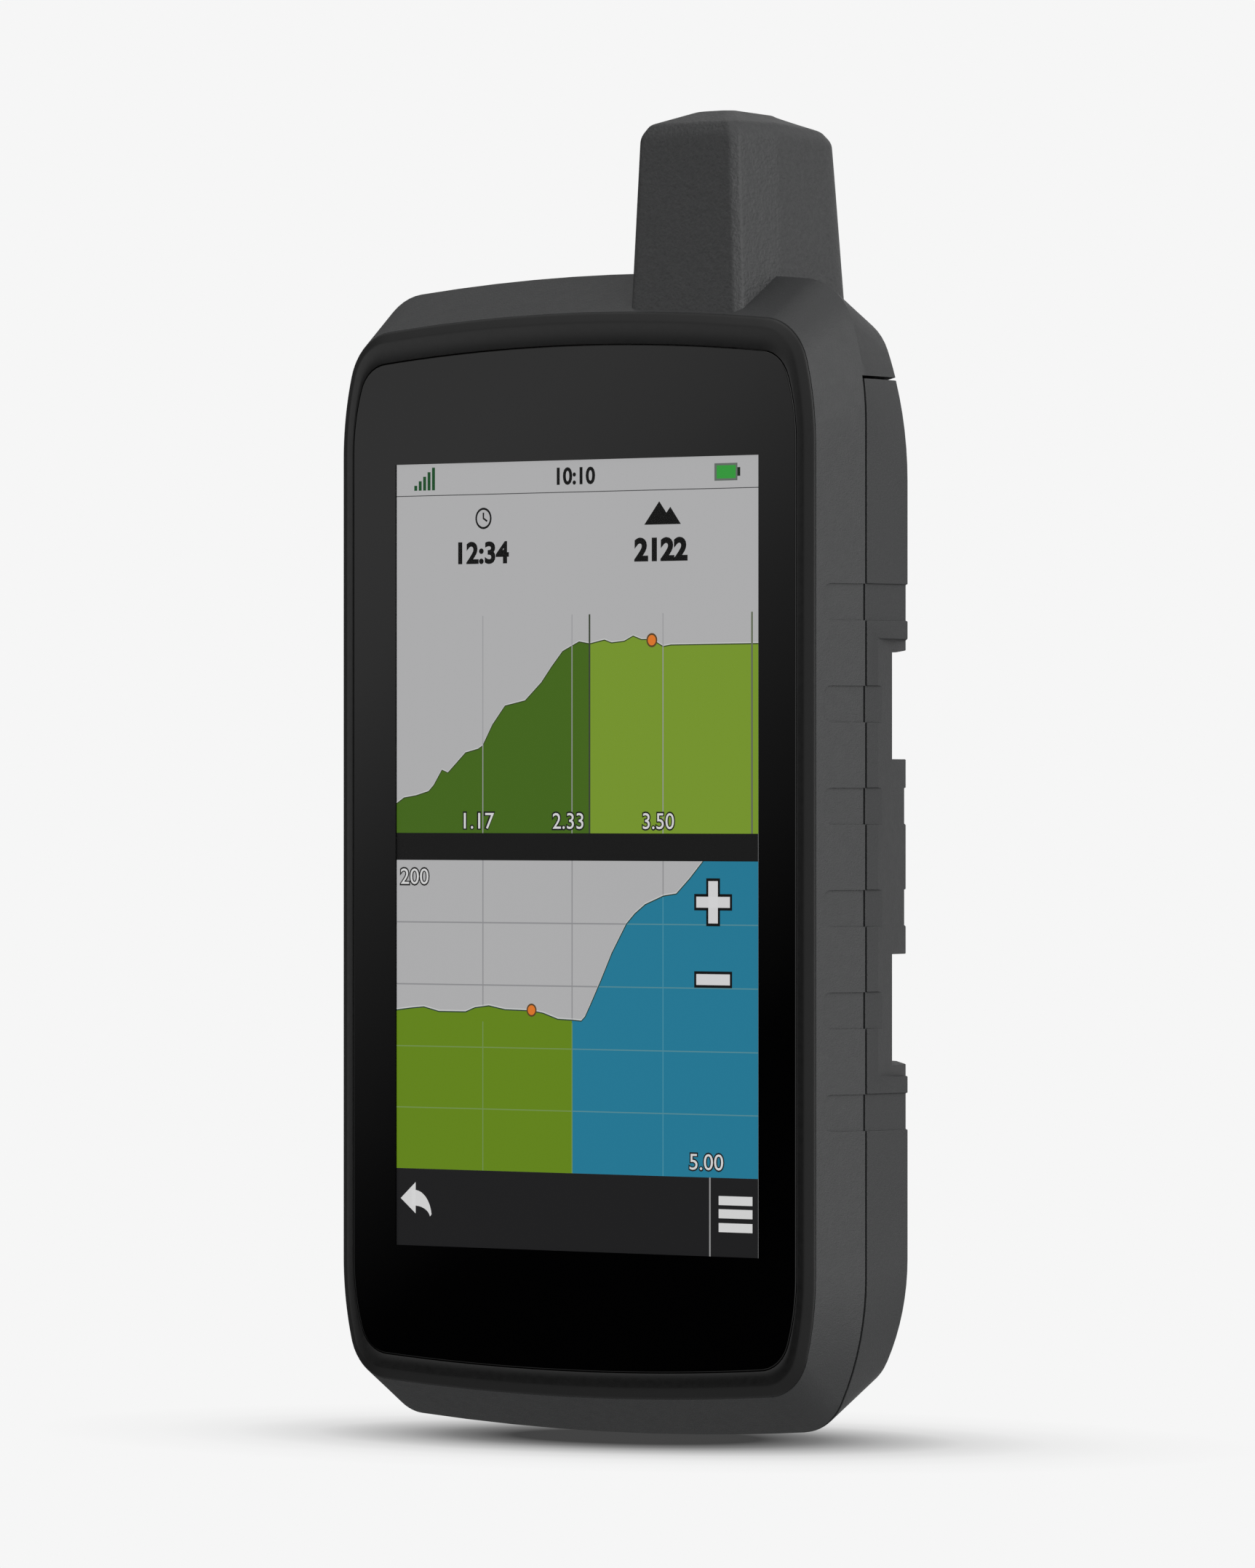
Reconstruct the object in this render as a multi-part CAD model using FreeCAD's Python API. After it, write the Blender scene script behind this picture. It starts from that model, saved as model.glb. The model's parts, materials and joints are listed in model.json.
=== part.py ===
"""Rugged handheld GPS unit with a 5 inch touch screen, modelled as the pieces it comes apart into.

X runs to the right of someone facing the screen, Z runs up, and Y runs from the screen to the back.
Depths (Y) are written from the front of the cover glass. Every finished piece is then moved so that
the origin lies on the base, mid-way through the depth.
"""
import FreeCAD, Part
import math
import os

V = FreeCAD.Vector

# Driving dimensions, mm.
BODY_WIDTH = 91.4
BODY_DEPTH = 32.7
TOTAL_HEIGHT = 183.0
HALF = BODY_WIDTH / 2
WALL = 2.0
SEAM_Y = 8.65          # parting line round the waist of the case
SEAM_GAP = 0.4
SHOULDER_Z = 145.6     # level parting line between the shoulder and the rear cover
SCREEN_HALF_WIDTH = 33.0
SCREEN_BOTTOM, SCREEN_TOP = 25.4, 135.0
FAR = 60.0             # reach of a cutting block beyond the case
TIGHTEST_CORNER = 1.0

FRONT_BACK_FACE = SEAM_Y - SEAM_GAP / 2
COVER_FRONT_FACE = SEAM_Y + SEAM_GAP / 2


class Section:
    """Closed outline of the case at one depth: arched top and bottom, round corners, and long
    tapering arcs that run into straight sides. An end is (arch, corner, taper, taper angle)."""

    def __init__(self, y, half, bottom, top, lower, upper):
        self.y, self.half, self.bottom, self.top = y, half, bottom, top
        self.lower, self.upper = lower, upper

    def inset(self, wall, y=None):
        def shrink(end):
            return (end[0] - wall, max(end[1] - wall, TIGHTEST_CORNER), end[2] - wall, end[3])
        return Section(self.y if y is None else y, self.half - wall, self.bottom + wall,
                       self.top - wall, shrink(self.lower), shrink(self.upper))

    def towards(self, other, y):
        """The ruled outline between this section and another, at depth y."""
        share = (y - self.y) / (other.y - self.y)

        def mix(a, b):
            return a + (b - a) * share
        lower = tuple(mix(a, b) for a, b in zip(self.lower, other.lower))
        upper = tuple(mix(a, b) for a, b in zip(self.upper, other.upper))
        return Section(y, mix(self.half, other.half), mix(self.bottom, other.bottom),
                       mix(self.top, other.top), lower, upper)

    def end_points(self, edge_z, up, end):
        """Points along half of one end, from the middle of its arch to the top of its side."""
        arch, corner, taper, degrees = end
        steep = math.pi / 2 - math.radians(degrees)
        reach = self.half - corner * math.sin(steep) - taper * (1 - math.sin(steep))
        low = math.asin(reach / (arch - corner))
        x, z = arch * math.sin(low), edge_z - up * arch * (1 - math.cos(low))
        points = [(x, z)]
        for radius, start, stop in ((corner, low, steep), (taper, steep, math.pi / 2)):
            for angle in ((start + stop) / 2, stop):
                points.append((x + radius * (math.sin(angle) - math.sin(start)),
                               z - up * radius * (math.cos(start) - math.cos(angle))))
            x, z = points[-1]
        return points

    def wire(self):
        top = self.end_points(self.top, 1, self.upper)
        base = self.end_points(self.bottom, -1, self.lower)

        def at(point, side=1):
            return V(side * point[0], self.y, point[1])

        def arc(a, b, c):
            return Part.Arc(a, b, c).toShape()
        edges = [arc(at(top[0], -1), V(0, self.y, self.top), at(top[0]))]
        edges += [arc(at(top[0]), at(top[1]), at(top[2])), arc(at(top[2]), at(top[3]), at(top[4]))]
        edges += [Part.makeLine(at(top[4]), at(base[4]))]
        edges += [arc(at(base[4]), at(base[3]), at(base[2])),
                  arc(at(base[2]), at(base[1]), at(base[0]))]
        edges += [arc(at(base[0]), V(0, self.y, self.bottom), at(base[0], -1))]
        edges += [arc(at(base[0], -1), at(base[1], -1), at(base[2], -1)),
                  arc(at(base[2], -1), at(base[3], -1), at(base[4], -1))]
        edges += [Part.makeLine(at(base[4], -1), at(top[4], -1))]
        edges += [arc(at(top[4], -1), at(top[3], -1), at(top[2], -1)),
                  arc(at(top[2], -1), at(top[1], -1), at(top[0], -1))]
        return Part.Wire(edges)


# Outlines of the case, front to back.
GLASS = Section(0.0, 40.35, 8.9, 150.8, (480, 5.2, 30, 18), (360, 5, 30, 18))
RIM = Section(0.8, 43.05, 5.25, 155.3, (480, 7, 45, 15), (360, 8, 45, 15))
WAIST = Section(SEAM_Y, HALF, -0.12, 161.0, (476, 8, 37, 28), (380, 9.5, 40, 20))
REAR_CORNER = Section(17.6, HALF, 5.4, 156.2, (476, 8, 30, 28), (380, 8, 48, 22))
BACK = Section(BODY_DEPTH, 31.5, 16.0, 148.0, (476, 8, 30, 28), (380, 8, 40, 20))
BACK_EDGE = REAR_CORNER.towards(BACK, BODY_DEPTH - 1.2)
BACK_FACE = BACK_EDGE.inset(2.0, BODY_DEPTH)


def loft(sections):
    return Part.makeLoft([section.wire() for section in sections], True, True)


def envelope(wall=0.0):
    """The whole case as one solid, its faces moved inwards by a wall thickness."""
    back = BODY_DEPTH - wall
    last = REAR_CORNER.towards(BACK, back) if wall else BACK_FACE
    edge = [BACK_EDGE] if not wall else []
    sections = [RIM.inset(wall, RIM.y - 1.5)] if wall else []
    sections += [section.inset(wall) for section in (RIM, WAIST, REAR_CORNER)]
    sections += edge + ([last.inset(wall)] if wall else [last])
    return loft(sections)


def block(x0, x1, y0, y1, z0, z1):
    return Part.makeBox(x1 - x0, y1 - y0, z1 - z0, V(x0, y0, z0))


def round_block(x0, x1, y0, y1, z0, z1, radius, along):
    """A block whose four edges along one axis are rounded."""
    solid = block(x0, x1, y0, y1, z0, z1)
    axis = {"x": V(1, 0, 0), "y": V(0, 1, 0), "z": V(0, 0, 1)}[along]
    edges = [edge for edge in solid.Edges if abs(edge.tangentAt(0).dot(axis)) > 0.9]
    return solid.makeFillet(radius, edges)


def rod(x, z, radius, y0, y1):
    """A cylinder along the depth of the case."""
    return Part.makeCylinder(radius, y1 - y0, V(x, y0, z), V(0, 1, 0))


def post(x, y, radius, z0, z1):
    return Part.makeCylinder(radius, z1 - z0, V(x, y, z0), V(0, 0, 1))


def prism_z(points, z0, z1):
    """A prism that stands on an outline in X and Y."""
    wire = Part.makePolygon([V(x, y, z0) for x, y in points + points[:1]])
    return Part.Face(wire).extrude(V(0, 0, z1 - z0))


def slab(section, y0, y1):
    """An outline carried straight back from one depth to another."""
    return Part.Face(section.inset(0, y0).wire()).extrude(V(0, y1 - y0, 0))


def both_sides(solid):
    return [solid, solid.mirror(V(0, 0, 0), V(1, 0, 0))]


def fuse(solids):
    return solids[0].multiFuse(solids[1:]).removeSplitter()


CASE = envelope()
CASE_INSIDE = envelope(WALL)


# Grip bands: six shallow grooves across each side, running over the waist.
GRIP_COUNT = 6
GRIP_PITCH = 13.92
GRIP_HEIGHT = 5.0
GRIP_LOWEST = 42.8
GRIP_DEPTH = 0.33
GRIP_FRONT = 2.1


def grip_grooves():
    bands = []
    for index in range(GRIP_COUNT):
        low = GRIP_LOWEST + index * GRIP_PITCH
        band = round_block(HALF - 9, HALF + 9, GRIP_FRONT, BODY_DEPTH + 9, low, low + GRIP_HEIGHT, 1.2, "x")
        bands += both_sides(band)
    return Part.makeCompound(bands).cut(envelope(GRIP_DEPTH))


GRIPS = grip_grooves()


# Display stack.
GLASS_THICK = 1.1
TAPE_THICK = 0.2
LEDGE_Y = GLASS_THICK + TAPE_THICK
LEDGE_WIDTH = 2.2
LEDGE_BACK = 2.6
TOUCH_THICK = 0.4
LCD_Y = GLASS_THICK + TOUCH_THICK
LCD_THICK = 1.3
LIGHT_THICK = 1.9
TRAY_THICK = 0.5
LCD_HALF = SCREEN_HALF_WIDTH + 1.8
LCD_LOW, LCD_HIGH = SCREEN_BOTTOM - 4.5, SCREEN_TOP + 2.5
TRAY_FLOOR = LCD_Y + LCD_THICK + LIGHT_THICK
BOARD_Y = TRAY_FLOOR + TRAY_THICK + 0.9
BOARD_THICK = 0.9
BOARD_BACK = BOARD_Y + BOARD_THICK
BOARD_HALF = 36.0
BOARD_LOW, BOARD_HIGH = 11.0, 151.5
BOARD_SCREWS = [(x, z) for x in (-31, 31) for z in (16, 136)]


def cover_glass():
    return loft([GLASS.inset(0.3, 0), GLASS.inset(0, 0.3), GLASS.inset(0, GLASS_THICK)])


def glass_adhesive():
    return slab(GLASS.inset(0.3), GLASS_THICK, LEDGE_Y).cut(slab(GLASS.inset(LEDGE_WIDTH), 0, 9))


def front_bezel():
    """Black frame round the glass, with a ledge under the glass and a skirt inside the case."""
    ring = loft([RIM.inset(2.4, 0.02), RIM.inset(1.33, 0.12), RIM, RIM.inset(0, 1.0)])
    skirt = slab(RIM.inset(1.9), 1.0, LEDGE_BACK)
    pocket = slab(GLASS.inset(-0.12), -1, LEDGE_Y)
    window = slab(GLASS.inset(LEDGE_WIDTH), 0, 9)
    return ring.fuse(skirt).removeSplitter().cut(pocket).cut(window)


def touch_sensor():
    return block(-SCREEN_HALF_WIDTH - 3, SCREEN_HALF_WIDTH + 3, GLASS_THICK, LCD_Y,
                 SCREEN_BOTTOM - 5.5, SCREEN_TOP + 3.5)


def lcd_panel():
    return block(-LCD_HALF, LCD_HALF, LCD_Y, LCD_Y + LCD_THICK, LCD_LOW, LCD_HIGH)


def backlight_unit():
    return round_block(-LCD_HALF, LCD_HALF, LCD_Y + LCD_THICK, TRAY_FLOOR, LCD_LOW, LCD_HIGH, 0.8, "y")


def display_frame():
    """Pressed metal tray behind the screen, with four threaded bosses for the board."""
    low, high, half = LCD_LOW - 0.7, LCD_HIGH + 0.7, LCD_HALF + 0.7
    tray = block(-half, half, LEDGE_BACK, TRAY_FLOOR + TRAY_THICK, low, high)
    tray = tray.cut(block(-half + 0.5, half - 0.5, 0, TRAY_FLOOR, low + 0.5, high - 0.5))
    tray = tray.cut(block(-9, 9, 0, TRAY_FLOOR, low - 1, low + 1))
    bosses = [rod(x, z, 2.2, TRAY_FLOOR, BOARD_Y) for x, z in BOARD_SCREWS if z > low]
    feet = [block(x - 3, x + 3, TRAY_FLOOR, BOARD_Y, z - 3, low + 4) for x, z in BOARD_SCREWS if z < low]
    holes = [rod(x, z, 0.8, TRAY_FLOOR, FAR) for x, z in BOARD_SCREWS]
    return fuse([tray] + bosses + feet).cut(Part.makeCompound(holes))


def display_flex():
    """Ribbon from the lower edge of the screen round to the front of the board."""
    thick, low, half = 0.15, LCD_LOW - 2.6, 8.0
    front, back = LCD_Y + 0.5, BOARD_Y - thick
    outline = [(front, LCD_LOW), (front, low), (BOARD_Y, low), (BOARD_Y, low + 8), (back, low + 8),
               (back, low + thick), (front + thick, low + thick), (front + thick, LCD_LOW)]
    wire = Part.makePolygon([V(-half, y, z) for y, z in outline + outline[:1]])
    return Part.Face(wire).extrude(V(2 * half, 0, 0))


# Charging and data port, under a rubber cap on the left side.
PORT_Z, PORT_Y = 130.0, 4.0
PORT_HEIGHT, PORT_DEEP = 7.5, 2.5
CAP_RECESS = 1.7
CAP_THICK = 1.45
CAP_Y0, CAP_Y1 = 2.5, 7.5
CAP_LOW, CAP_HIGH = 121.7, 138.3
CAP_GAP = 0.2
CAP_NAIL_GAP = 0.7     # wider gap along the front edge, for a fingernail
CAP_BARREL = 0.68      # round end of the cap's strap, on its hinge line
CAP_STRAP_HALF = 0.85
CAP_HINGE = V(-43.743, 5.0, CAP_LOW + CAP_GAP + CAP_BARREL)
CAP_HINGE_LINE = V(HALF - 43.05, RIM.y - SEAM_Y, 0).normalize()


def port_space(gap):
    return block(-HALF, -LCD_HALF - 1.5, PORT_Y - PORT_DEEP / 2 - gap, PORT_Y + PORT_DEEP / 2 + gap,
                 PORT_Z - PORT_HEIGHT / 2 - gap, PORT_Z + PORT_HEIGHT / 2 + gap)


def cap_space(gap):
    return round_block(-HALF - 5, -HALF + 9, CAP_Y0 + gap, CAP_Y1 - gap, CAP_LOW + gap,
                       CAP_HIGH - gap, 1.6 - gap, "x")


def usb_cap():
    """Rubber cap with a plug inside it, on a narrow strap with a round end where it turns."""
    skin = cap_space(CAP_GAP).common(CASE).cut(envelope(CAP_THICK))
    skin = skin.cut(block(-FAR, FAR, 0, CAP_Y0 + CAP_NAIL_GAP, 0, FAR * 3))
    skin = skin.cut(block(-FAR, FAR, 0, FAR, 0, CAP_HINGE.z))
    for side in (-1, 1):
        beside = CAP_HINGE.y + side * (FAR / 2 + CAP_STRAP_HALF)
        skin = skin.cut(block(-FAR, FAR, beside - FAR / 2, beside + FAR / 2, 0, CAP_LOW + 1.8))
    barrel = Part.makeCylinder(CAP_BARREL, 2 * CAP_STRAP_HALF, CAP_HINGE - CAP_HINGE_LINE * CAP_STRAP_HALF,
                               CAP_HINGE_LINE)
    plug = round_block(-42.8, -41.4, PORT_Y - 0.6, PORT_Y + 0.6, PORT_Z - 2.7, PORT_Z + 2.6, 0.5, "x")
    return fuse([skin, barrel, plug])


def usb_receptacle():
    """Pressed steel shell on a board ear, with its tongue inside."""
    shell = port_space(0).common(block(-42.0, -36.4, -FAR, FAR, 0, FAR * 3))
    hollow = port_space(-0.3).common(block(-HALF, -37, -FAR, FAR, 0, FAR * 3))
    tongue = block(-41, -37, PORT_Y + 0.35, PORT_Y + 0.8, PORT_Z - 2.2, PORT_Z + 2.2)
    saddle = block(-40.2, -37, PORT_Y + PORT_DEEP / 2, BOARD_Y, PORT_Z - 3, PORT_Z + 3)
    return fuse([shell.cut(hollow), tongue, saddle])


# Front housing and what it carries.
FRAME_LEDGE = 8.0      # width of the flange that the rear housing is screwed to
FLANGE_THICK = 1.35
FLANGE_FRONT = FRONT_BACK_FACE - FLANGE_THICK
OPENING_TOP = 141.0
SHOULDER_FLOOR = SHOULDER_Z + SEAM_GAP / 2
CASE_SCREWS = [(side * 41.0, z) for side in (-1, 1) for z in (36, 80, 124)]
KEY_X, KEY_Y = -24.0, 14.0
KEY_HALF_X, KEY_HALF_Y = 7.0, 3.2
KEY_TRAVEL = 0.6
KEY_PROUD = 0.7
ANTENNA_X, ANTENNA_Y = 19.0, 11.5
SPEAKER_X, SPEAKER_Y = -3.0, 14.5
CONTACT_FLOOR_Y = 23.0
CONTACT_COUNT = 5


def key_prism(gap, z0, z1):
    return round_block(KEY_X - KEY_HALF_X - gap, KEY_X + KEY_HALF_X + gap, KEY_Y - KEY_HALF_Y - gap,
                       KEY_Y + KEY_HALF_Y + gap, z0, z1, 2.4 + gap, "z")


def front_housing():
    """Moulded front half: the flared sides, the chin, and the shoulder that reaches the back."""
    low_half = block(-FAR, FAR, RIM.y + 0.2, FRONT_BACK_FACE, -1, FAR * 3)
    shoulder = block(-FAR, FAR, RIM.y + 0.2, BODY_DEPTH + 1, SHOULDER_FLOOR, FAR * 3)
    body = CASE.common(low_half.fuse(shoulder))
    inside = CASE_INSIDE.common(fuse([
        block(-FAR, FAR, -1, FLANGE_FRONT, -1, FAR * 3),
        block(-FAR, FAR, -1, BODY_DEPTH - WALL, SHOULDER_FLOOR + WALL, FAR * 3)]))
    body = body.cut(inside)
    opening = slab(WAIST.inset(FRAME_LEDGE), 0, SEAM_Y + 1).common(block(-FAR, FAR, 0, FAR, 0, OPENING_TOP))
    body = body.cut(opening)
    port_block = block(-43.9, -40.4, 1.2, FLANGE_FRONT + 0.1, CAP_LOW - 2.5, CAP_HIGH + 2.5)
    bosses = [rod(x, z, 1.9, 4.2, FLANGE_FRONT + 0.1) for x, z in CASE_SCREWS]
    seat = block(-13, 13, CONTACT_FLOOR_Y - WALL, BODY_DEPTH, SHOULDER_FLOOR, 153)
    added = Part.makeCompound([fuse([port_block] + bosses + [seat]).common(CASE)])
    body = body.fuse(added).removeSplitter().cut(slab(RIM.inset(1.75), 0, LEDGE_BACK + 0.1))
    slots = [round_block(SPEAKER_X + dx - 0.6, SPEAKER_X + dx + 0.6, 11.2, 16.6, 150, FAR * 3, 0.5, "z")
             for dx in (-4, -2, 0, 2, 4)]
    recess = cap_space(0).cut(envelope(CAP_RECESS))
    contact_pocket = round_block(-11, 11, CONTACT_FLOOR_Y, FAR, 147.4, 153.4, 1.2, "y")
    screw_holes = [rod(x, z, 0.9, 4.8, FAR) for x, z in CASE_SCREWS]
    seal_groove = seal_ring(0.05, FRONT_BACK_FACE - 0.75, FRONT_BACK_FACE + 1)
    cuts = [GRIPS, recess, port_space(0.25), key_prism(0.25, 151, FAR * 3), contact_pocket, seal_groove,
            post(ANTENNA_X, ANTENNA_Y, 1.2, 150, 162)] + slots + screw_holes
    for cutter in cuts:
        body = body.cut(cutter)
    return body


def seal_ring(gap, y0, y1):
    def closed(wall):
        return slab(WAIST.inset(wall), y0, y1).common(block(-FAR, FAR, 0, FAR, 0, 148.8 - wall))
    return closed(6.2 - gap).cut(closed(7.3 + gap))


def housing_seal():
    return seal_ring(0, FRONT_BACK_FACE - 0.7, FRONT_BACK_FACE)


def power_key():
    top = CASE.copy()
    top.translate(V(0, 0, KEY_PROUD))
    stem = key_prism(0, 151, 170).common(top)
    flange = key_prism(0.9, 150.3, 151.4)
    return stem.fuse(flange)


def power_key_seal():
    web = key_prism(1.2, 148.9, 149.3)
    return web.fuse(post(KEY_X, KEY_Y, 1.5, 149.3, 149.6))


def power_switch():
    body = block(KEY_X - 3, KEY_X + 3, KEY_Y - 2, KEY_Y + 2, SHOULDER_FLOOR + WALL + 0.2, 148.7)
    return body.fuse(post(KEY_X, KEY_Y, 1.2, 148.7, 148.85))


def switch_flex():
    """Flex tail that carries the power switch and ends on the back of the board."""
    floor = SHOULDER_FLOOR + WALL
    pad = block(KEY_X - 6, KEY_X + 6, KEY_Y - 4, KEY_Y + 3.5, floor, floor + 0.2)
    tail = block(KEY_X - 2, KEY_X + 2, BOARD_BACK, KEY_Y, floor, floor + 0.2)
    return pad.fuse(tail).removeSplitter()


def speaker():
    box = round_block(SPEAKER_X - 7.5, SPEAKER_X + 7.5, SPEAKER_Y - 4.5, SPEAKER_Y + 4.5,
                      SHOULDER_FLOOR + WALL, 151.2, 1.0, "z")
    return box.fuse(post(SPEAKER_X, SPEAKER_Y, 3.4, 151.2, 151.5))


def speaker_mesh():
    return round_block(SPEAKER_X - 6.5, SPEAKER_X + 6.5, SPEAKER_Y - 3.8, SPEAKER_Y + 3.2, 151.7, 152.0,
                       1.0, "z")


def mount_contacts():
    """Five gold pins for a powered cradle, in the pocket in the back of the shoulder."""
    pins = []
    for index in range(CONTACT_COUNT):
        x = (index - (CONTACT_COUNT - 1) / 2) * 4.0
        pins.append(rod(x, 150.4, 0.9, CONTACT_FLOOR_Y, CONTACT_FLOOR_Y + 0.5))
    return Part.makeCompound(pins)


# Antenna stub on the right of the top.
ANTENNA_BASE_Z = 147.0
ANTENNA_CROWN_Z = 179.4
STUB_WALL = 1.6
CROWN_STEPS = ((179.4, 0.0), (181.1, 0.9), (TOTAL_HEIGHT, 5.6))
CROWN_FALL_Y = 11.0    # the crown falls away to the back from this depth
CROWN_FALL = 0.08


def stub_outline(z, wall=0.0):
    """Tapering six-sided outline of the stub: flat front, two facets on the right, round back."""
    rise = z - 155.0
    left, right, front, back = 9.0 + 0.02 * rise, 30.3 - 0.075 * rise, 1.35 + 0.055 * rise, 28.0 - 0.03 * rise
    left, right, front, back = left + wall, right - wall, front + wall, back - wall
    points = [(left + 1.0, front), (right - 2.2, front), (right - 1.1, front + 0.9), (right, front + 8.0),
              (right - 1.2, back - 3.2), (right - 4.6, back), (left + 4.5, back), (left, back - 4.0),
              (left, front + 1.0)]
    return Part.makePolygon([V(x, y, z) for x, y in points + points[:1]])


def antenna_shroud():
    """Hollow stub with a bevelled crown that falls away to the back."""
    wires = [stub_outline(ANTENNA_BASE_Z)] + [stub_outline(z, inset) for z, inset in CROWN_STEPS]
    hollow = [stub_outline(ANTENNA_BASE_Z - 1, STUB_WALL), stub_outline(ANTENNA_CROWN_Z, STUB_WALL)]
    drop = CROWN_FALL * (FAR - CROWN_FALL_Y)
    over = [(CROWN_FALL_Y, TOTAL_HEIGHT), (FAR, TOTAL_HEIGHT - drop), (FAR, TOTAL_HEIGHT + 9),
            (CROWN_FALL_Y, TOTAL_HEIGHT + 9)]
    wire = Part.makePolygon([V(0, y, z) for y, z in over + over[:1]])
    fall = Part.Face(wire).extrude(V(FAR, 0, 0))
    return Part.makeLoft(wires, True, True).cut(fall).cut(Part.makeLoft(hollow, True, True)).cut(CASE)


def antenna_board():
    plate = round_block(12.6, 26.4, 4.2, 17.0, 161.2, 162.0, 2.5, "z")
    return plate.cut(post(ANTENNA_X, ANTENNA_Y, 0.6, 160, 163))


def antenna_core():
    return post(ANTENNA_X, ANTENNA_Y, 5.2, 162.0, 178.0).cut(post(ANTENNA_X, ANTENNA_Y, 4.2, 161, 179))


def antenna_elements():
    """Four wires wound half a turn round the core, a quarter turn apart."""
    rise, radius, wire_radius = 15.0, 5.75, 0.3
    wires = []
    for index in range(4):
        helix = Part.makeHelix(rise * 2, rise, radius)
        profile = Part.Wire(Part.makeCircle(wire_radius, V(radius, 0, 0), V(0, 1, 0)))
        wound = Part.Wire(helix.Edges).makePipeShell([profile], True, True)
        wound.rotate(V(0, 0, 0), V(0, 0, 1), 90 * index)
        wound.translate(V(ANTENNA_X, ANTENNA_Y, 162.5))
        wires.append(wound)
    return Part.makeCompound(wires)


def antenna_coax():
    """Thin coax from the antenna board, down through the case, to the back of the board."""
    bend, end_z = 3.0, 149.2
    top, corner = V(ANTENNA_X, ANTENNA_Y, 161.6), V(ANTENNA_X, ANTENNA_Y, end_z + bend)
    turn = V(ANTENNA_X, ANTENNA_Y - bend * (1 - math.sqrt(0.5)), end_z + bend * (1 - math.sqrt(0.5)))
    flat = V(ANTENNA_X, ANTENNA_Y - bend, end_z)
    end = V(ANTENNA_X, BOARD_BACK, end_z)
    path = Part.Wire([Part.makeLine(top, corner), Part.Arc(corner, turn, flat).toShape(),
                      Part.makeLine(flat, end)])
    profile = Part.Wire(Part.makeCircle(0.55, top, V(0, 0, 1)))
    return path.makePipeShell([profile], True, True)


# Main board and its parts.
def main_board():
    plate = round_block(-BOARD_HALF, BOARD_HALF, BOARD_Y, BOARD_BACK, BOARD_LOW, BOARD_HIGH, 5, "y")
    ear = round_block(-40.2, -30, BOARD_Y, BOARD_BACK, PORT_Z - 4, PORT_Z + 4, 0.8, "y")
    holes = Part.makeCompound([rod(x, z, 0.9, 0, FAR) for x, z in BOARD_SCREWS])
    return plate.fuse(ear).removeSplitter().cut(holes)


def shield_can(x0, x1, z0, z1, tall):
    can = round_block(x0, x1, BOARD_BACK, BOARD_BACK + tall, z0, z1, 0.8, "y")
    return can.cut(block(x0 + 0.3, x1 - 0.3, BOARD_BACK - 1, BOARD_BACK + tall - 0.3, z0 + 0.3, z1 - 0.3))


def processor_shield():
    return shield_can(-26, 4, 96, 128, 2.0)


def radio_shield():
    return shield_can(8, 28, 100, 130, 2.0)


def board_chips():
    """Processor, memory, receiver, radio, power chip and sensors, soldered to the board's back."""
    chips = [(-20, -6, 104, 118, 1.2), (-4, 2, 104, 116, 1.0), (12, 22, 106, 116, 1.1), (13, 20, 120, 127, 1.0),
             (-24, -12, 50, 62, 1.1), (-6, 0, 40, 46, 0.9), (20, 24, 40, 44, 0.8), (-30, -26, 84, 88, 0.8)]
    return Part.makeCompound([block(x0, x1, BOARD_BACK, BOARD_BACK + tall, z0, z1)
                              for x0, x1, z0, z1, tall in chips])


def backup_cell():
    return rod(-24, 76, 3.4, BOARD_BACK, BOARD_BACK + 1.5)


def board_screws():
    return Part.makeCompound([rod(x, z, 1.8, BOARD_BACK, BOARD_BACK + 1.0).fuse(
        rod(x, z, 0.8, TRAY_FLOOR + 0.1, BOARD_BACK)) for x, z in BOARD_SCREWS])


# Rear housing: the sealed inner back, with the battery bay.
FLOOR_Y, FLOOR_THICK = 12.0, 1.6
BAY_FLOOR = FLOOR_Y + FLOOR_THICK
BAY_WALL_TOP = 21.5
BATTERY_HALF, BATTERY_LOW, BATTERY_HIGH = 28.5, 46.0, 122.0
BATTERY_FRONT, BATTERY_BACK = BAY_FLOOR + 0.3, 28.6
BAY_GAP, BAY_WALL = 0.4, 2.0
CARD_X, CARD_LOW = 16.0, 61.0
CARD_LENGTH, CARD_WIDTH, CARD_THICK = 15.0, 11.0, 0.8
CARD_TRAVEL = 12.0
WELL_FLOOR = 9.4
CARD_Y = WELL_FLOOR + 1.6
LATCH_Z = 31.0
VENT = (-20.0, 30.0)
FLANGE_TOP = SHOULDER_Z - SEAM_GAP / 2 - WALL - 0.2


def bay_box(grow, y0, y1):
    return round_block(-BATTERY_HALF - grow, BATTERY_HALF + grow, y0, y1, BATTERY_LOW - grow,
                       BATTERY_HIGH + grow, 2.0 + grow, "y")


def card_well(grow, y0, y1):
    return block(CARD_X - 8.2 - grow, CARD_X + 8.2 + grow, y0, y1, CARD_LOW - 3 - grow,
                 CARD_LOW + CARD_LENGTH + CARD_TRAVEL + 4 + grow)


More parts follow.
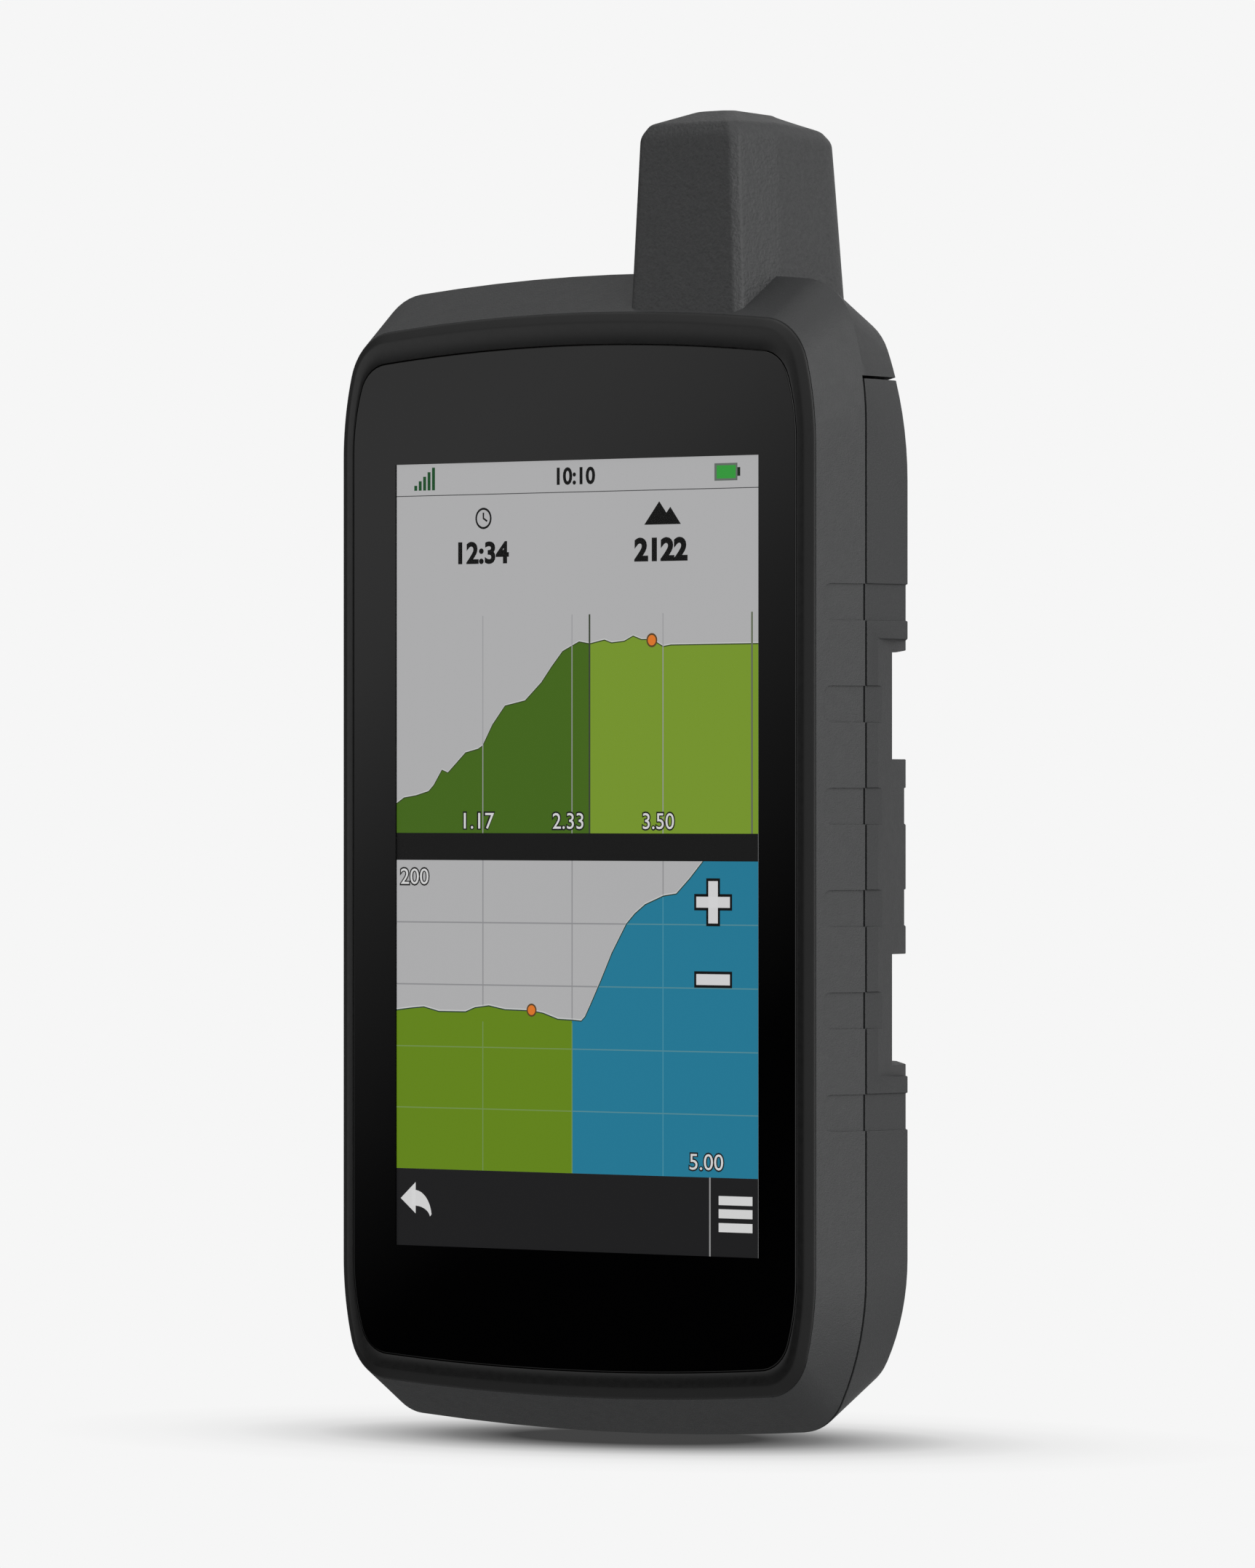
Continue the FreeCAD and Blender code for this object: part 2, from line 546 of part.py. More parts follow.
def rear_housing():
    """Sealed inner back with the battery bay, the card well and the catches of the latch."""
    inner = envelope(WALL + 0.4)
    flange = inner.common(block(-FAR, FAR, FRONT_BACK_FACE, FRONT_BACK_FACE + 1.75, 0, FLANGE_TOP))
    tray = slab(WAIST.inset(FRAME_LEDGE - 1), FRONT_BACK_FACE, BAY_FLOOR)
    tray = tray.common(block(-FAR, FAR, 0, FAR, 9.5, OPENING_TOP + 2))
    hollow = slab(WAIST.inset(FRAME_LEDGE + 1), 0, FLOOR_Y).common(block(-FAR, FAR, 0, FAR, 11, OPENING_TOP))
    walls = bay_box(BAY_GAP + BAY_WALL, BAY_FLOOR - 0.1, BAY_WALL_TOP)
    walls = walls.cut(bay_box(BAY_GAP, BAY_FLOOR, FAR))
    catches = both_sides(block(12.8, 15.4, BAY_FLOOR - 0.1, 26.0, LATCH_Z - 3, LATCH_Z + 3))
    body = fuse([flange, tray]).cut(hollow)
    well = card_well(1.2, WELL_FLOOR, BAY_FLOOR)
    body = fuse([body, walls, well] + catches)
    cuts = [card_well(0, WELL_FLOOR + 1.0, FAR), block(-8, 8, 0, FAR, 49, 54), rod(*VENT, 1.0, 0, FAR)]
    for cutter in cuts + [rod(x, z, 1.0, 0, FAR) for x, z in CASE_SCREWS]:
        body = body.cut(cutter)
    return body


def housing_screws():
    face = FRONT_BACK_FACE + 1.75
    return Part.makeCompound([rod(x, z, 1.8, face, face + 1.2).fuse(rod(x, z, 0.9, 4.9, face))
                              for x, z in CASE_SCREWS])


def vent_membrane():
    return rod(*VENT, 3.0, BAY_FLOOR, BAY_FLOOR + 0.2)


def card_holder():
    y0, y1 = WELL_FLOOR + 1.0, CARD_Y + CARD_THICK + 0.6
    shell = block(CARD_X - 6.6, CARD_X + 6.6, y0, y1, CARD_LOW - 1.5, CARD_LOW + CARD_LENGTH - 1.5)
    slot = block(CARD_X - 5.7, CARD_X + 5.7, CARD_Y - 0.2, CARD_Y + CARD_THICK + 0.2, CARD_LOW - 0.4, FAR * 3)
    return shell.cut(slot)


def memory_card():
    card = block(CARD_X - CARD_WIDTH / 2, CARD_X + CARD_WIDTH / 2, CARD_Y, CARD_Y + CARD_THICK,
                 CARD_LOW, CARD_LOW + CARD_LENGTH)
    notch = block(CARD_X + CARD_WIDTH / 2 - 1.0, CARD_X + 9, 0, FAR, CARD_LOW + 3.0, CARD_LOW + 6.0)
    return card.cut(notch)


CONTACT_XS = (-4.8, -1.6, 1.6, 4.8)


def battery_contacts():
    """Moulded block with four sprung blades that press on the battery's pads."""
    base = block(-8, 8, FLOOR_Y - 0.4, BAY_FLOOR, 49, 54)
    blades = [block(x - 0.7, x + 0.7, BAY_FLOOR, BATTERY_FRONT - 0.05, 50, 53) for x in CONTACT_XS]
    return fuse([base] + blades)


def battery_terminals():
    return Part.makeCompound([block(x - 1.0, x + 1.0, BATTERY_FRONT, BATTERY_FRONT + 0.3, 49.4, 53.6)
                              for x in CONTACT_XS])


def battery_pack():
    pack = round_block(-BATTERY_HALF, BATTERY_HALF, BATTERY_FRONT, BATTERY_BACK, BATTERY_LOW, BATTERY_HIGH,
                       2.0, "y")
    rim = [edge for edge in pack.Edges if abs(edge.CenterOfMass.y - BATTERY_BACK) < 0.01]
    pack = pack.makeFillet(0.8, rim)
    finger_notch = round_block(-9, 9, BATTERY_BACK - 4, FAR, BATTERY_HIGH - 4, BATTERY_HIGH + 5, 2.0, "y")
    return pack.cut(finger_notch).cut(battery_terminals())


def battery_pads():
    return Part.makeCompound([block(x - 4, x + 4, BAY_FLOOR, BATTERY_FRONT, z - 1.5, z + 1.5)
                              for x in (-22, 22) for z in (52, 116)])


# Rear cover with its quarter-turn latch.
NOTCH_BANDS = ((51.7, 66.8), (93.5, 108.4))
NOTCH_DEPTH = 2.6
NOTCH_FRONT_Y = 15.8
RAMP_LOW, RAMP_HIGH = 50.1, 109.9
RAMP_START_Y = 11.2
RAMP_SLOPE = math.tan(math.radians(15))
RIB_TOP_GAP = 0.9
BOSS_RADIUS = 14.0
BOSS_FRONT = 26.2
ROTOR_RADIUS = 10.9
ROTOR_BACK = BODY_DEPTH - 0.2
ROTOR_FRONT = 27.8
ROTOR_GAP = 0.3
SHAFT_RADIUS = 4.8
CAM_BACK, CAM_THICK = 25.9, 1.8
RING_POCKET = 28.7
HINGE_Y, HINGE_Z = 30.9, LATCH_Z + 3.5
PIN_RADIUS = 0.8
BARREL_HALF = 5.3


def bevel_wedge(depth, z0, z1):
    """Everything outside the rear side bevel moved inwards by a depth, on the right side."""
    run = V(BACK.half - HALF, BODY_DEPTH - REAR_CORNER.y, 0).normalize()
    inwards = V(-run.y, run.x, 0) * depth
    start = V(HALF, REAR_CORNER.y, 0) + inwards - run * 20
    stop = start + run * 60
    return prism_z([(start.x, start.y), (FAR * 2, start.y), (FAR * 2, stop.y), (stop.x, stop.y)], z0, z1)


def rear_cover():
    """Battery cover that makes up the whole back, with four cradle notches and a latch boss."""
    reach = block(-FAR, FAR, COVER_FRONT_FACE, FAR, -1, SHOULDER_Z - SEAM_GAP / 2)
    skin = CASE.common(reach)
    hollow = CASE_INSIDE.common(block(-FAR, FAR, 0, FAR, -1, SHOULDER_Z - SEAM_GAP / 2 - WALL))
    for low, high in NOTCH_BANDS:
        for wedge in both_sides(bevel_wedge(NOTCH_DEPTH + WALL, low - WALL, high + WALL)):
            hollow = hollow.cut(wedge)
    ramp_slab = [(HALF, RAMP_START_Y), (HALF + 9, RAMP_START_Y), (HALF + 9, FAR),
                 (HALF - RAMP_SLOPE * (FAR - RAMP_START_Y), FAR)]
    ramp = prism_z(ramp_slab, RAMP_LOW, RAMP_HIGH)
    boss = rod(0, LATCH_Z, BOSS_RADIUS, BOSS_FRONT, BODY_DEPTH - 1.5)
    rib = bay_box(BAY_GAP + BAY_WALL, BAY_WALL_TOP + RIB_TOP_GAP, BODY_DEPTH - 1)
    rib = rib.cut(bay_box(BAY_GAP, 0, FAR)).common(CASE.common(reach))
    body = fuse([skin.cut(hollow), boss, rib])
    cuts = [GRIPS] + both_sides(ramp)
    for low, high in NOTCH_BANDS:
        notch = bevel_wedge(NOTCH_DEPTH, low, high).common(block(0, FAR, NOTCH_FRONT_Y, FAR, 0, FAR * 3))
        cuts += both_sides(notch)
    cuts.append(rod(0, LATCH_Z, ROTOR_RADIUS + ROTOR_GAP, ROTOR_FRONT - 0.1, FAR))
    cuts.append(rod(0, LATCH_Z, SHAFT_RADIUS + ROTOR_GAP, 0, FAR))
    for cutter in cuts:
        body = body.cut(cutter)
    return body


def cover_gasket():
    y0, y1 = BAY_WALL_TOP + 0.1, BAY_WALL_TOP + RIB_TOP_GAP
    return bay_box(BAY_GAP + BAY_WALL - 0.3, y0, y1).cut(bay_box(BAY_GAP + 0.3, 0, FAR))


def latch_rotor():
    """Round latch with a pocket for the folded ring, a shaft through the cover and an O-ring groove."""
    disc = rod(0, LATCH_Z, ROTOR_RADIUS, ROTOR_FRONT, ROTOR_BACK)
    rim = [edge for edge in disc.Edges if edge.Length > 60 and abs(edge.CenterOfMass.y - ROTOR_BACK) < 0.01]
    disc = disc.makeFillet(0.5, rim)
    shaft = rod(0, LATCH_Z, SHAFT_RADIUS, CAM_BACK, ROTOR_FRONT + 0.1)
    body = fuse([disc, shaft])
    ring_pocket = round_block(-8.2, 8.2, RING_POCKET, FAR, LATCH_Z - 7.0, LATCH_Z + 1.7, 2.5, "y")
    barrel_pocket = block(-BARREL_HALF - 0.3, BARREL_HALF + 0.3, RING_POCKET, FAR, LATCH_Z, LATCH_Z + 5.7)
    groove = rod(0, LATCH_Z, 9, 26.3, 27.6).cut(rod(0, LATCH_Z, 3.8, 26, 28))
    pin_hole = Part.makeCylinder(PIN_RADIUS, 17, V(-8.5, HINGE_Y, HINGE_Z), V(1, 0, 0))
    screw_hole = rod(0, LATCH_Z, 1.1, 0, 27.9)
    for cutter in (ring_pocket, barrel_pocket, groove, pin_hole, screw_hole):
        body = body.cut(cutter)
    return body


def latch_o_ring():
    return Part.makeTorus(4.43, 0.6, V(0, 26.95, LATCH_Z), V(0, 1, 0))


def latch_cam():
    bar = round_block(-12.0, 12.0, CAM_BACK - CAM_THICK, CAM_BACK, LATCH_Z - 3, LATCH_Z + 3, 2.5, "y")
    return bar.common(rod(0, LATCH_Z, 12.0, 0, FAR)).cut(rod(0, LATCH_Z, 1.1, 0, FAR))


def latch_screw():
    head = rod(0, LATCH_Z, 2.4, CAM_BACK - CAM_THICK - 1.2, CAM_BACK - CAM_THICK)
    return head.fuse(rod(0, LATCH_Z, 1.1, CAM_BACK - CAM_THICK, 27.9))


def d_shape(half, neck, low, high, y0, y1):
    """A letter D lying on its back: a straight top edge, and a round finger end below."""
    wide = LATCH_Z - 0.9
    corners = [V(-half, y0, wide), V(-neck, y0, high), V(neck, y0, high), V(half, y0, wide)]
    edges = [Part.makeLine(a, b) for a, b in zip(corners, corners[1:])]
    edges.append(Part.Arc(corners[3], V(0, y0, low), corners[0]).toShape())
    return Part.Face(Part.Wire(edges)).extrude(V(0, y1 - y0, 0))


def d_ring():
    front, back = HINGE_Y - 1, HINGE_Y + 1
    ring = d_shape(7.4, 5.2, LATCH_Z - 6.3, LATCH_Z + 1.2, front, back)
    neck = block(-5.2, 5.2, front, back, LATCH_Z, HINGE_Z)
    barrel = Part.makeCylinder(1.5, 2 * BARREL_HALF, V(-BARREL_HALF, HINGE_Y, HINGE_Z), V(1, 0, 0))
    finger_hole = d_shape(5.4, 4.2, LATCH_Z - 4.2, LATCH_Z + 1.5, 0, FAR)
    bore = Part.makeCylinder(PIN_RADIUS + 0.06, 20, V(-10, HINGE_Y, HINGE_Z), V(1, 0, 0))
    return fuse([ring, neck, barrel]).cut(finger_hole).cut(bore)


def d_ring_pin():
    return Part.makeCylinder(PIN_RADIUS, 16.6, V(-8.3, HINGE_Y, HINGE_Z), V(1, 0, 0))


PIECES = [
    cover_glass, glass_adhesive, front_bezel, touch_sensor, lcd_panel, backlight_unit, display_frame,
    display_flex, front_housing, housing_seal, rear_housing, housing_screws, vent_membrane,
    usb_receptacle, usb_cap, power_key, power_key_seal, power_switch, switch_flex, speaker,
    speaker_mesh, mount_contacts, antenna_shroud, antenna_board, antenna_core, antenna_elements,
    antenna_coax, main_board, processor_shield, radio_shield, board_chips, backup_cell, board_screws,
    card_holder, memory_card, battery_contacts, battery_pads, battery_pack, battery_terminals,
    rear_cover, cover_gasket, latch_rotor, latch_o_ring, latch_cam, latch_screw, d_ring, d_ring_pin]

os.makedirs("parts", exist_ok=True)
for piece in PIECES:
    shape = piece()
    shape.translate(V(0, -BODY_DEPTH / 2, 0))
    shape.exportStep("parts/" + piece.__name__ + ".step")
    print(piece.__name__, len(shape.Solids), shape.isValid(), round(shape.Volume, 1))
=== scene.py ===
import json

import bmesh
import bpy
import numpy as np
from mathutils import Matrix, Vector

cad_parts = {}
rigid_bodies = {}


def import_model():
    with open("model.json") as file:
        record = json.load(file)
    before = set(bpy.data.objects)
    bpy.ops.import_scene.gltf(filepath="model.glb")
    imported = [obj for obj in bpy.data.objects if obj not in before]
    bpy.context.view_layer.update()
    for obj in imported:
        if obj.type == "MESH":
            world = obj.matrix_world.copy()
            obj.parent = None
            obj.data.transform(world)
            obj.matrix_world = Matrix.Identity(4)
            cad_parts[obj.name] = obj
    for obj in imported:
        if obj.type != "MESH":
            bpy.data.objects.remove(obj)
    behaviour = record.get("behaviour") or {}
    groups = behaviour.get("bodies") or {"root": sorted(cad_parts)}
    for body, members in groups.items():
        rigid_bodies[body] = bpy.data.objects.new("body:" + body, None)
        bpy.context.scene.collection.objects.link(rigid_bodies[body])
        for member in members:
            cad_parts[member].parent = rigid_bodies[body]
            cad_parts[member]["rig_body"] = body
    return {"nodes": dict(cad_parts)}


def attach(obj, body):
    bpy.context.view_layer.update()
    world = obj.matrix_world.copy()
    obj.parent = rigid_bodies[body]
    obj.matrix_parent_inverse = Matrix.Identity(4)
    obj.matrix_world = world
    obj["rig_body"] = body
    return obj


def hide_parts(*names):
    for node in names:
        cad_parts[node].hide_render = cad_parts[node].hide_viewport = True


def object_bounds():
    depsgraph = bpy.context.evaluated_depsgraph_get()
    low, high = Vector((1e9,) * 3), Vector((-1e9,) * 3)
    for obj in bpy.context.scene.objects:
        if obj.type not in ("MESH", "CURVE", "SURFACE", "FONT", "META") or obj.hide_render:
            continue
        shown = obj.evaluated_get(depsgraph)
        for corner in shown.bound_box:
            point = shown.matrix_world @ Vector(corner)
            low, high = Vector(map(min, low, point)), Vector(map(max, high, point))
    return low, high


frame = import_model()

cad_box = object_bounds()


# ---- The studio -------------------------------------------------------------------------------
# A white backdrop, a dome of soft light that is brightest on the right, two soft boxes, and a
# graded card out of view that the glass mirrors. The camera stands level with the case.
MM = 0.001
EYE = (0.9305, -1.09755, 0.0878)
TURN = np.radians(40.4)
scene = bpy.context.scene

camera = bpy.data.objects.new("camera", bpy.data.cameras.new("camera"))
scene.collection.objects.link(camera)
camera.location = EYE
camera.rotation_euler = (np.pi / 2, 0, TURN)
camera.data.lens = 236.47
camera.data.sensor_width = 36
camera.data.shift_y = 0.0107
camera.data.clip_start = 0.05
scene.camera = camera
scene.view_settings.view_transform = "Standard"


class Field:
    """A shader socket that adds, multiplies and subtracts like a number, by way of Math nodes."""

    def __init__(self, finish, socket):
        self.finish, self.socket = finish, socket

    def math(self, operation, first, second):
        return self.finish.node("Math", {"operation": operation}, {0: first, 1: second})

    def __add__(self, other):
        return self.math("ADD", self, other)

    def __sub__(self, other):
        return self.math("SUBTRACT", self, other)

    def __rsub__(self, other):
        return self.math("SUBTRACT", other, self)

    def __mul__(self, other):
        return self.math("MULTIPLY", self, other)

    def __truediv__(self, other):
        return self.math("DIVIDE", self, other)

    def __gt__(self, other):
        return self.math("GREATER_THAN", self, other)

    def __lt__(self, other):
        return self.math("LESS_THAN", self, other)

    __radd__, __rmul__ = __add__, __mul__

    def out(self, name):
        return Field(self.finish, self.socket.node.outputs[name])


class Finish:
    """A material. Its constants sit on the shader, and what varies is fed in by node()."""

    def __init__(self, name, **constants):
        self.material = bpy.data.materials.new(name)
        self.material.use_nodes = True
        self.tree = self.material.node_tree
        self.shader = self.tree.nodes["Principled BSDF"]
        for key, value in constants.items():
            self.shader.inputs[key.replace("_", " ")].default_value = value

    def node(self, kind, settings=None, sockets=None):
        made = self.tree.nodes.new("ShaderNode" + kind)
        for key, value in (settings or {}).items():
            if key == "stops":
                while len(made.color_ramp.elements) < len(value):
                    made.color_ramp.elements.new(1.0)
                for element, (place, colour) in zip(made.color_ramp.elements, value):
                    element.position, element.color = place, (*colour, 1)
            else:
                setattr(made, key, value)
        for key, value in (sockets or {}).items():
            if isinstance(value, Field):
                self.tree.links.new(value.socket, made.inputs[key])
            else:
                made.inputs[key].default_value = value
        return Field(self, next(s for s in made.outputs if s.enabled))

    def place(self):
        """Position on the piece, in metres."""
        return self.node("TexCoord").out("Object")

    def noise(self, size, detail=2.0, where=None, stretch=(1, 1, 1)):
        """Soft random pattern with features of a given size in metres."""
        where = self.node("Mapping", {}, {"Vector": where or self.place(), "Scale": stretch})
        return self.node("TexNoise", {}, {"Vector": where, "Scale": 1.0 / size, "Detail": detail})

    def blend(self, share, low, high):
        mixed = self.node("Mix", {"data_type": "RGBA"}, {"Factor": share})
        for key, value in ((6, low), (7, high)):
            if isinstance(value, Field):
                self.tree.links.new(value.socket, mixed.socket.node.inputs[key])
            else:
                mixed.socket.node.inputs[key].default_value = (*value, 1)
        return mixed

    def feed(self, **fields):
        for key, field in fields.items():
            self.tree.links.new(field.socket, self.shader.inputs[key.replace("_", " ")])
        return self

    def bump(self, height, depth):
        return self.feed(Normal=self.node("Bump", {}, {"Height": height, "Distance": depth}))


def light_box(name, place, size, power, face=(0, 0, 0.09)):
    lamp = bpy.data.objects.new(name, bpy.data.lights.new(name, "AREA"))
    scene.collection.objects.link(lamp)
    lamp.data.shape, lamp.data.size, lamp.data.size_y = "RECTANGLE", *size
    lamp.data.energy = power
    lamp.location = place
    away = np.array(place) - np.array(face)
    tilt, turn = np.arccos(away[2] / np.linalg.norm(away)), np.arctan2(away[0], -away[1])
    lamp.rotation_euler = (tilt, 0, turn)


light_box("soft_box_right", (1.0, -0.3, 0.3), (0.5, 0.9), 0.8)
light_box("soft_box_above", (-0.1, -0.45, 1.3), (1.2, 0.9), 1.3)

# The dome is bright on the right, dims below, and is nearly dark to the left.
world = bpy.data.worlds.new("dome")
world.use_nodes = True
scene.world = world
nodes, links = world.node_tree.nodes, world.node_tree.links
BACKDROP = 0.922
LOBE = (0.96, -0.14, 0.25)
HOLLOW = (-1.0, 0.0, 0.0)
seen, lit = nodes["Background"], nodes.new("ShaderNodeBackground")
seen.inputs["Color"].default_value = (BACKDROP, BACKDROP, BACKDROP, 1)
towards = nodes.new("ShaderNodeTexCoord").outputs["Generated"]


def dome_share(low, high, start, stop, direction=None):
    """Light that runs from one strength to another with height, or with nearness to a direction."""
    if direction:
        source = nodes.new("ShaderNodeVectorMath")
        source.operation = "DOT_PRODUCT"
        source.inputs[1].default_value = direction
        links.new(towards, source.inputs[0])
        source = source.outputs["Value"]
    else:
        source = nodes.new("ShaderNodeSeparateXYZ")
        links.new(towards, source.inputs[0])
        source = source.outputs["Z"]
    fall = nodes.new("ShaderNodeMapRange")
    fall.interpolation_type = "SMOOTHSTEP" if direction else "LINEAR"
    for key, value in (("From Min", low), ("From Max", high), ("To Min", start), ("To Max", stop)):
        fall.inputs[key].default_value = value
    links.new(source, fall.inputs["Value"])
    return fall.outputs[0]


dimmed, total = nodes.new("ShaderNodeMath"), nodes.new("ShaderNodeMath")
dimmed.operation = "MULTIPLY"
links.new(dome_share(-0.7, 0.9, 0.38, 0.72), dimmed.inputs[0])
links.new(dome_share(0.5, 0.95, 1.0, 0.2, HOLLOW), dimmed.inputs[1])
links.new(dimmed.outputs[0], total.inputs[0])
links.new(dome_share(0.68, 0.9, 0.0, 1.5, LOBE), total.inputs[1])
links.new(total.outputs[0], lit.inputs["Strength"])
choose = nodes.new("ShaderNodeMixShader")
links.new(nodes.new("ShaderNodeLightPath").outputs["Is Camera Ray"], choose.inputs[0])
links.new(lit.outputs[0], choose.inputs[1])
links.new(seen.outputs[0], choose.inputs[2])
links.new(choose.outputs[0], nodes["World Output"].inputs["Surface"])

# The floor is clear but for a painted soft dark oval, which no light casts and no pose moves.
SHADE_AT, SHADE_REACH, SHADE_SPREAD = (0.010, -0.014), (0.038, 0.027), 2.5


def greys(*stops):
    """Stops of a grey ramp, from pairs of a place and a level."""
    return [(place, (level, level, level)) for place, level in stops]


bpy.ops.mesh.primitive_circle_add(vertices=96, radius=0.16, fill_type="NGON")
floor = bpy.context.object
floor.name = "floor"
shade = Finish("contact_shade", Base_Color=(0, 0, 0, 1), Roughness=1.0, Specular_IOR_Level=0.0)
spot = shade.node("SeparateXYZ", {}, {0: shade.place()})
across = (spot.out("X") - SHADE_AT[0]) / SHADE_REACH[0]
deep = (spot.out("Y") - SHADE_AT[1]) / SHADE_REACH[1]
squared = across * across + deep * deep
near = squared.math("SQRT", squared, 0.0) / SHADE_SPREAD
depth_of_shade = shade.node("ValToRGB", {"stops": greys(
    (0.2, 0.94), (0.3, 0.78), (0.4, 0.52), (0.53, 0.23), (0.67, 0.09), (0.8, 0.035), (1.0, 0.0))},
    {0: near})
shade.feed(Alpha=depth_of_shade * (1 - shade.node("NewGeometry").out("Backfacing")))
floor.data.materials.append(shade.material)
floor.visible_diffuse = floor.visible_glossy = floor.visible_shadow = False

# The card's glow climbs with its own Y and falls with its own X.
card_light = Finish("graded_card", Base_Color=(0, 0, 0, 1), Roughness=1.0, Specular_IOR_Level=0.0,
                    Emission_Strength=1.0)
CARD_WIDE, CARD_TALL, CARD_AWAY = 0.7, 0.5, 0.55
CARD_SLANT, CARD_GAIN = 0.76, 5.0
along = card_light.node("SeparateXYZ", {}, {0: card_light.place()})
climb = CARD_TALL * along.out("Y") - CARD_SLANT * CARD_WIDE * along.out("X")
glow = card_light.node("ValToRGB", {"stops": greys(
    (0.1, 0.0), (0.25, 0.07), (0.4, 0.17), (0.54, 0.29), (0.74, 0.57), (0.87, 0.65))},
    {0: CARD_GAIN * climb + 0.5})
card_light.tree.links.new(glow.socket, card_light.shader.inputs["Emission Color"])
bpy.ops.mesh.primitive_plane_add(size=1)
card = bpy.context.object
card.name = "graded_card"
card.data.materials.append(card_light.material)
card.scale = (CARD_WIDE, CARD_TALL, 1)
card.rotation_euler = (np.pi / 2, 0, -TURN)
card.location = (-np.sin(TURN) * CARD_AWAY, -np.cos(TURN) * CARD_AWAY, 0.09)
card.visible_camera = card.visible_diffuse = card.visible_shadow = False


# ---- Front housing and power key ----------------------------------------------------------------
# The moulded front half of the case, with the shoulder that carries the antenna. Glass-filled
# nylon with a fine spark-eroded grain from the tool; six screws pull it onto the rear housing.
FRONT_Y = cad_box[0][1] / MM                    # depth of the glass face; sizes below start from it
CASE_GREYS = (0.036, 0.037, 0.038), (0.046, 0.047, 0.048)


def grain(finish, fine, depth, low, high, share=0.5, rough=0.4):
    """Moulded grain: two layers of noise lift the surface, and a slow one clouds its shade."""
    place = finish.place()
    pits = finish.noise(fine, 3.0, place) + 0.6 * finish.noise(fine * 2.6, 1.0, place)
    cloud = finish.noise(fine * 60, 2.0, place)
    speck = finish.noise(fine * 1.5, 1.0, place)
    finish.feed(Base_Color=finish.blend(cloud * (1 - share) + speck * share, low, high))
    finish.feed(Roughness=rough + 0.16 * finish.noise(fine * 8, 2.0, place))
    return finish.bump(pits, depth)


def soften(node, finish, width=0.25, segments=3, sharp=32):
    """A CAD piece with its edges eased: its triangles merged into faces, then a small bevel."""
    mesh = frame["nodes"][node].data.copy()
    form = bmesh.new()
    form.from_mesh(mesh)
    bmesh.ops.remove_doubles(form, verts=form.verts, dist=2e-6)
    bmesh.ops.dissolve_limit(form, angle_limit=np.radians(0.6), verts=form.verts, edges=form.edges)
    form.to_mesh(mesh)
    form.free()
    mesh.materials.clear()
    mesh.materials.append(finish.material)
    mesh.polygons.foreach_set("use_smooth", np.ones(len(mesh.polygons), bool))
    mesh.set_sharp_from_angle(angle=np.radians(sharp))
    piece = bpy.data.objects.new(node + "_moulded", mesh)
    scene.collection.objects.link(piece)
    bevel = piece.modifiers.new("eased", "BEVEL")
    bevel.width, bevel.segments, bevel.limit_method = width * MM, segments, "ANGLE"
    bevel.angle_limit, bevel.harden_normals = np.radians(sharp), True
    even_out = piece.modifiers.new("flat_faces_stay_flat", "WEIGHTED_NORMAL")
    even_out.weight, even_out.keep_sharp = 80, True
    body = frame["nodes"][node]["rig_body"]
    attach(piece, body)
    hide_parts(node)


housing_finish = grain(Finish("housing_nylon"), 0.00016, 0.00005, *CASE_GREYS)
soften("front_housing", housing_finish)

rubber = grain(Finish("moulded_rubber"), 0.0003, 0.00003, (0.016, 0.016, 0.017), (0.026, 0.026, 0.027))
soften("power_key", rubber)
soften("usb_cap", rubber)


# ---- Bezel ---------------------------------------------------------------------------------------
# Black frame that holds the glass: polycarbonate, moulded with a satin face that falls away to
# the housing. A ledge under the glass carries its tape, and a skirt locates it in the housing.
SIDE_TOP, SIDE_LOW = 122.0, 38.0                # heights between which every outline is straight


class Outline:
    """The case's outline at one depth: arched top and bottom, round corners and long tapering
    arcs into straight sides. An end is (arch radius, corner radius, taper radius, taper angle)."""

    def __init__(self, half, bottom, top, lower, upper):
        self.half, self.bottom, self.top, self.lower, self.upper = half, bottom, top, lower, upper

    def inset(self, wall):
        def shrink(end):
            return end[0] - wall, max(end[1] - wall, 1.0), end[2] - wall, end[3]
        return Outline(self.half - wall, self.bottom + wall, self.top - wall,
                       shrink(self.lower), shrink(self.upper))

    def end(self, edge, up, shape):
        """From the middle of an arch out to the side: each arc's centre plus its radius times the
        sine and cosine of an angle that runs on from the arc before."""
        arch, corner, taper, degrees = shape
        steep = np.pi / 2 - np.radians(degrees)
        reach = self.half - corner * np.sin(steep) - taper * (1 - np.sin(steep))
        low = np.arcsin(reach / (arch - corner))
        x, z, parts = 0.0, 0.0, []
        for radius, first, last in ((arch, 0, low), (corner, low, steep), (taper, steep, np.pi / 2)):
            turn = np.linspace(first, last, 60)
            parts.append(np.stack([x + radius * (np.sin(turn) - np.sin(first)),
                                   z + radius * (np.cos(first) - np.cos(turn))], 1))
            x, z = parts[-1][-1]
        line = np.concatenate(parts)
        return np.stack([line[:, 0], edge - up * line[:, 1]], 1)

    def loop(self, sides, ends=72):
        """Points round the outline, clockwise from the middle of the top: the ends are spaced
        evenly along their length and the sides stand at given heights."""
        top, low = self.end(self.top, 1, self.upper), self.end(self.bottom, -1, self.lower)[::-1]
        top = np.concatenate([top, [[self.half, sides[0]]]])
        low = np.concatenate([[[self.half, sides[-1]]], low])
        side = np.stack([np.full(len(sides), self.half), sides], 1)
        right = np.concatenate([even(top, ends)[:-1], side, even(low, ends)[1:]])
        left = right[-2:0:-1] * (-1, 1)
        return np.concatenate([right, left])


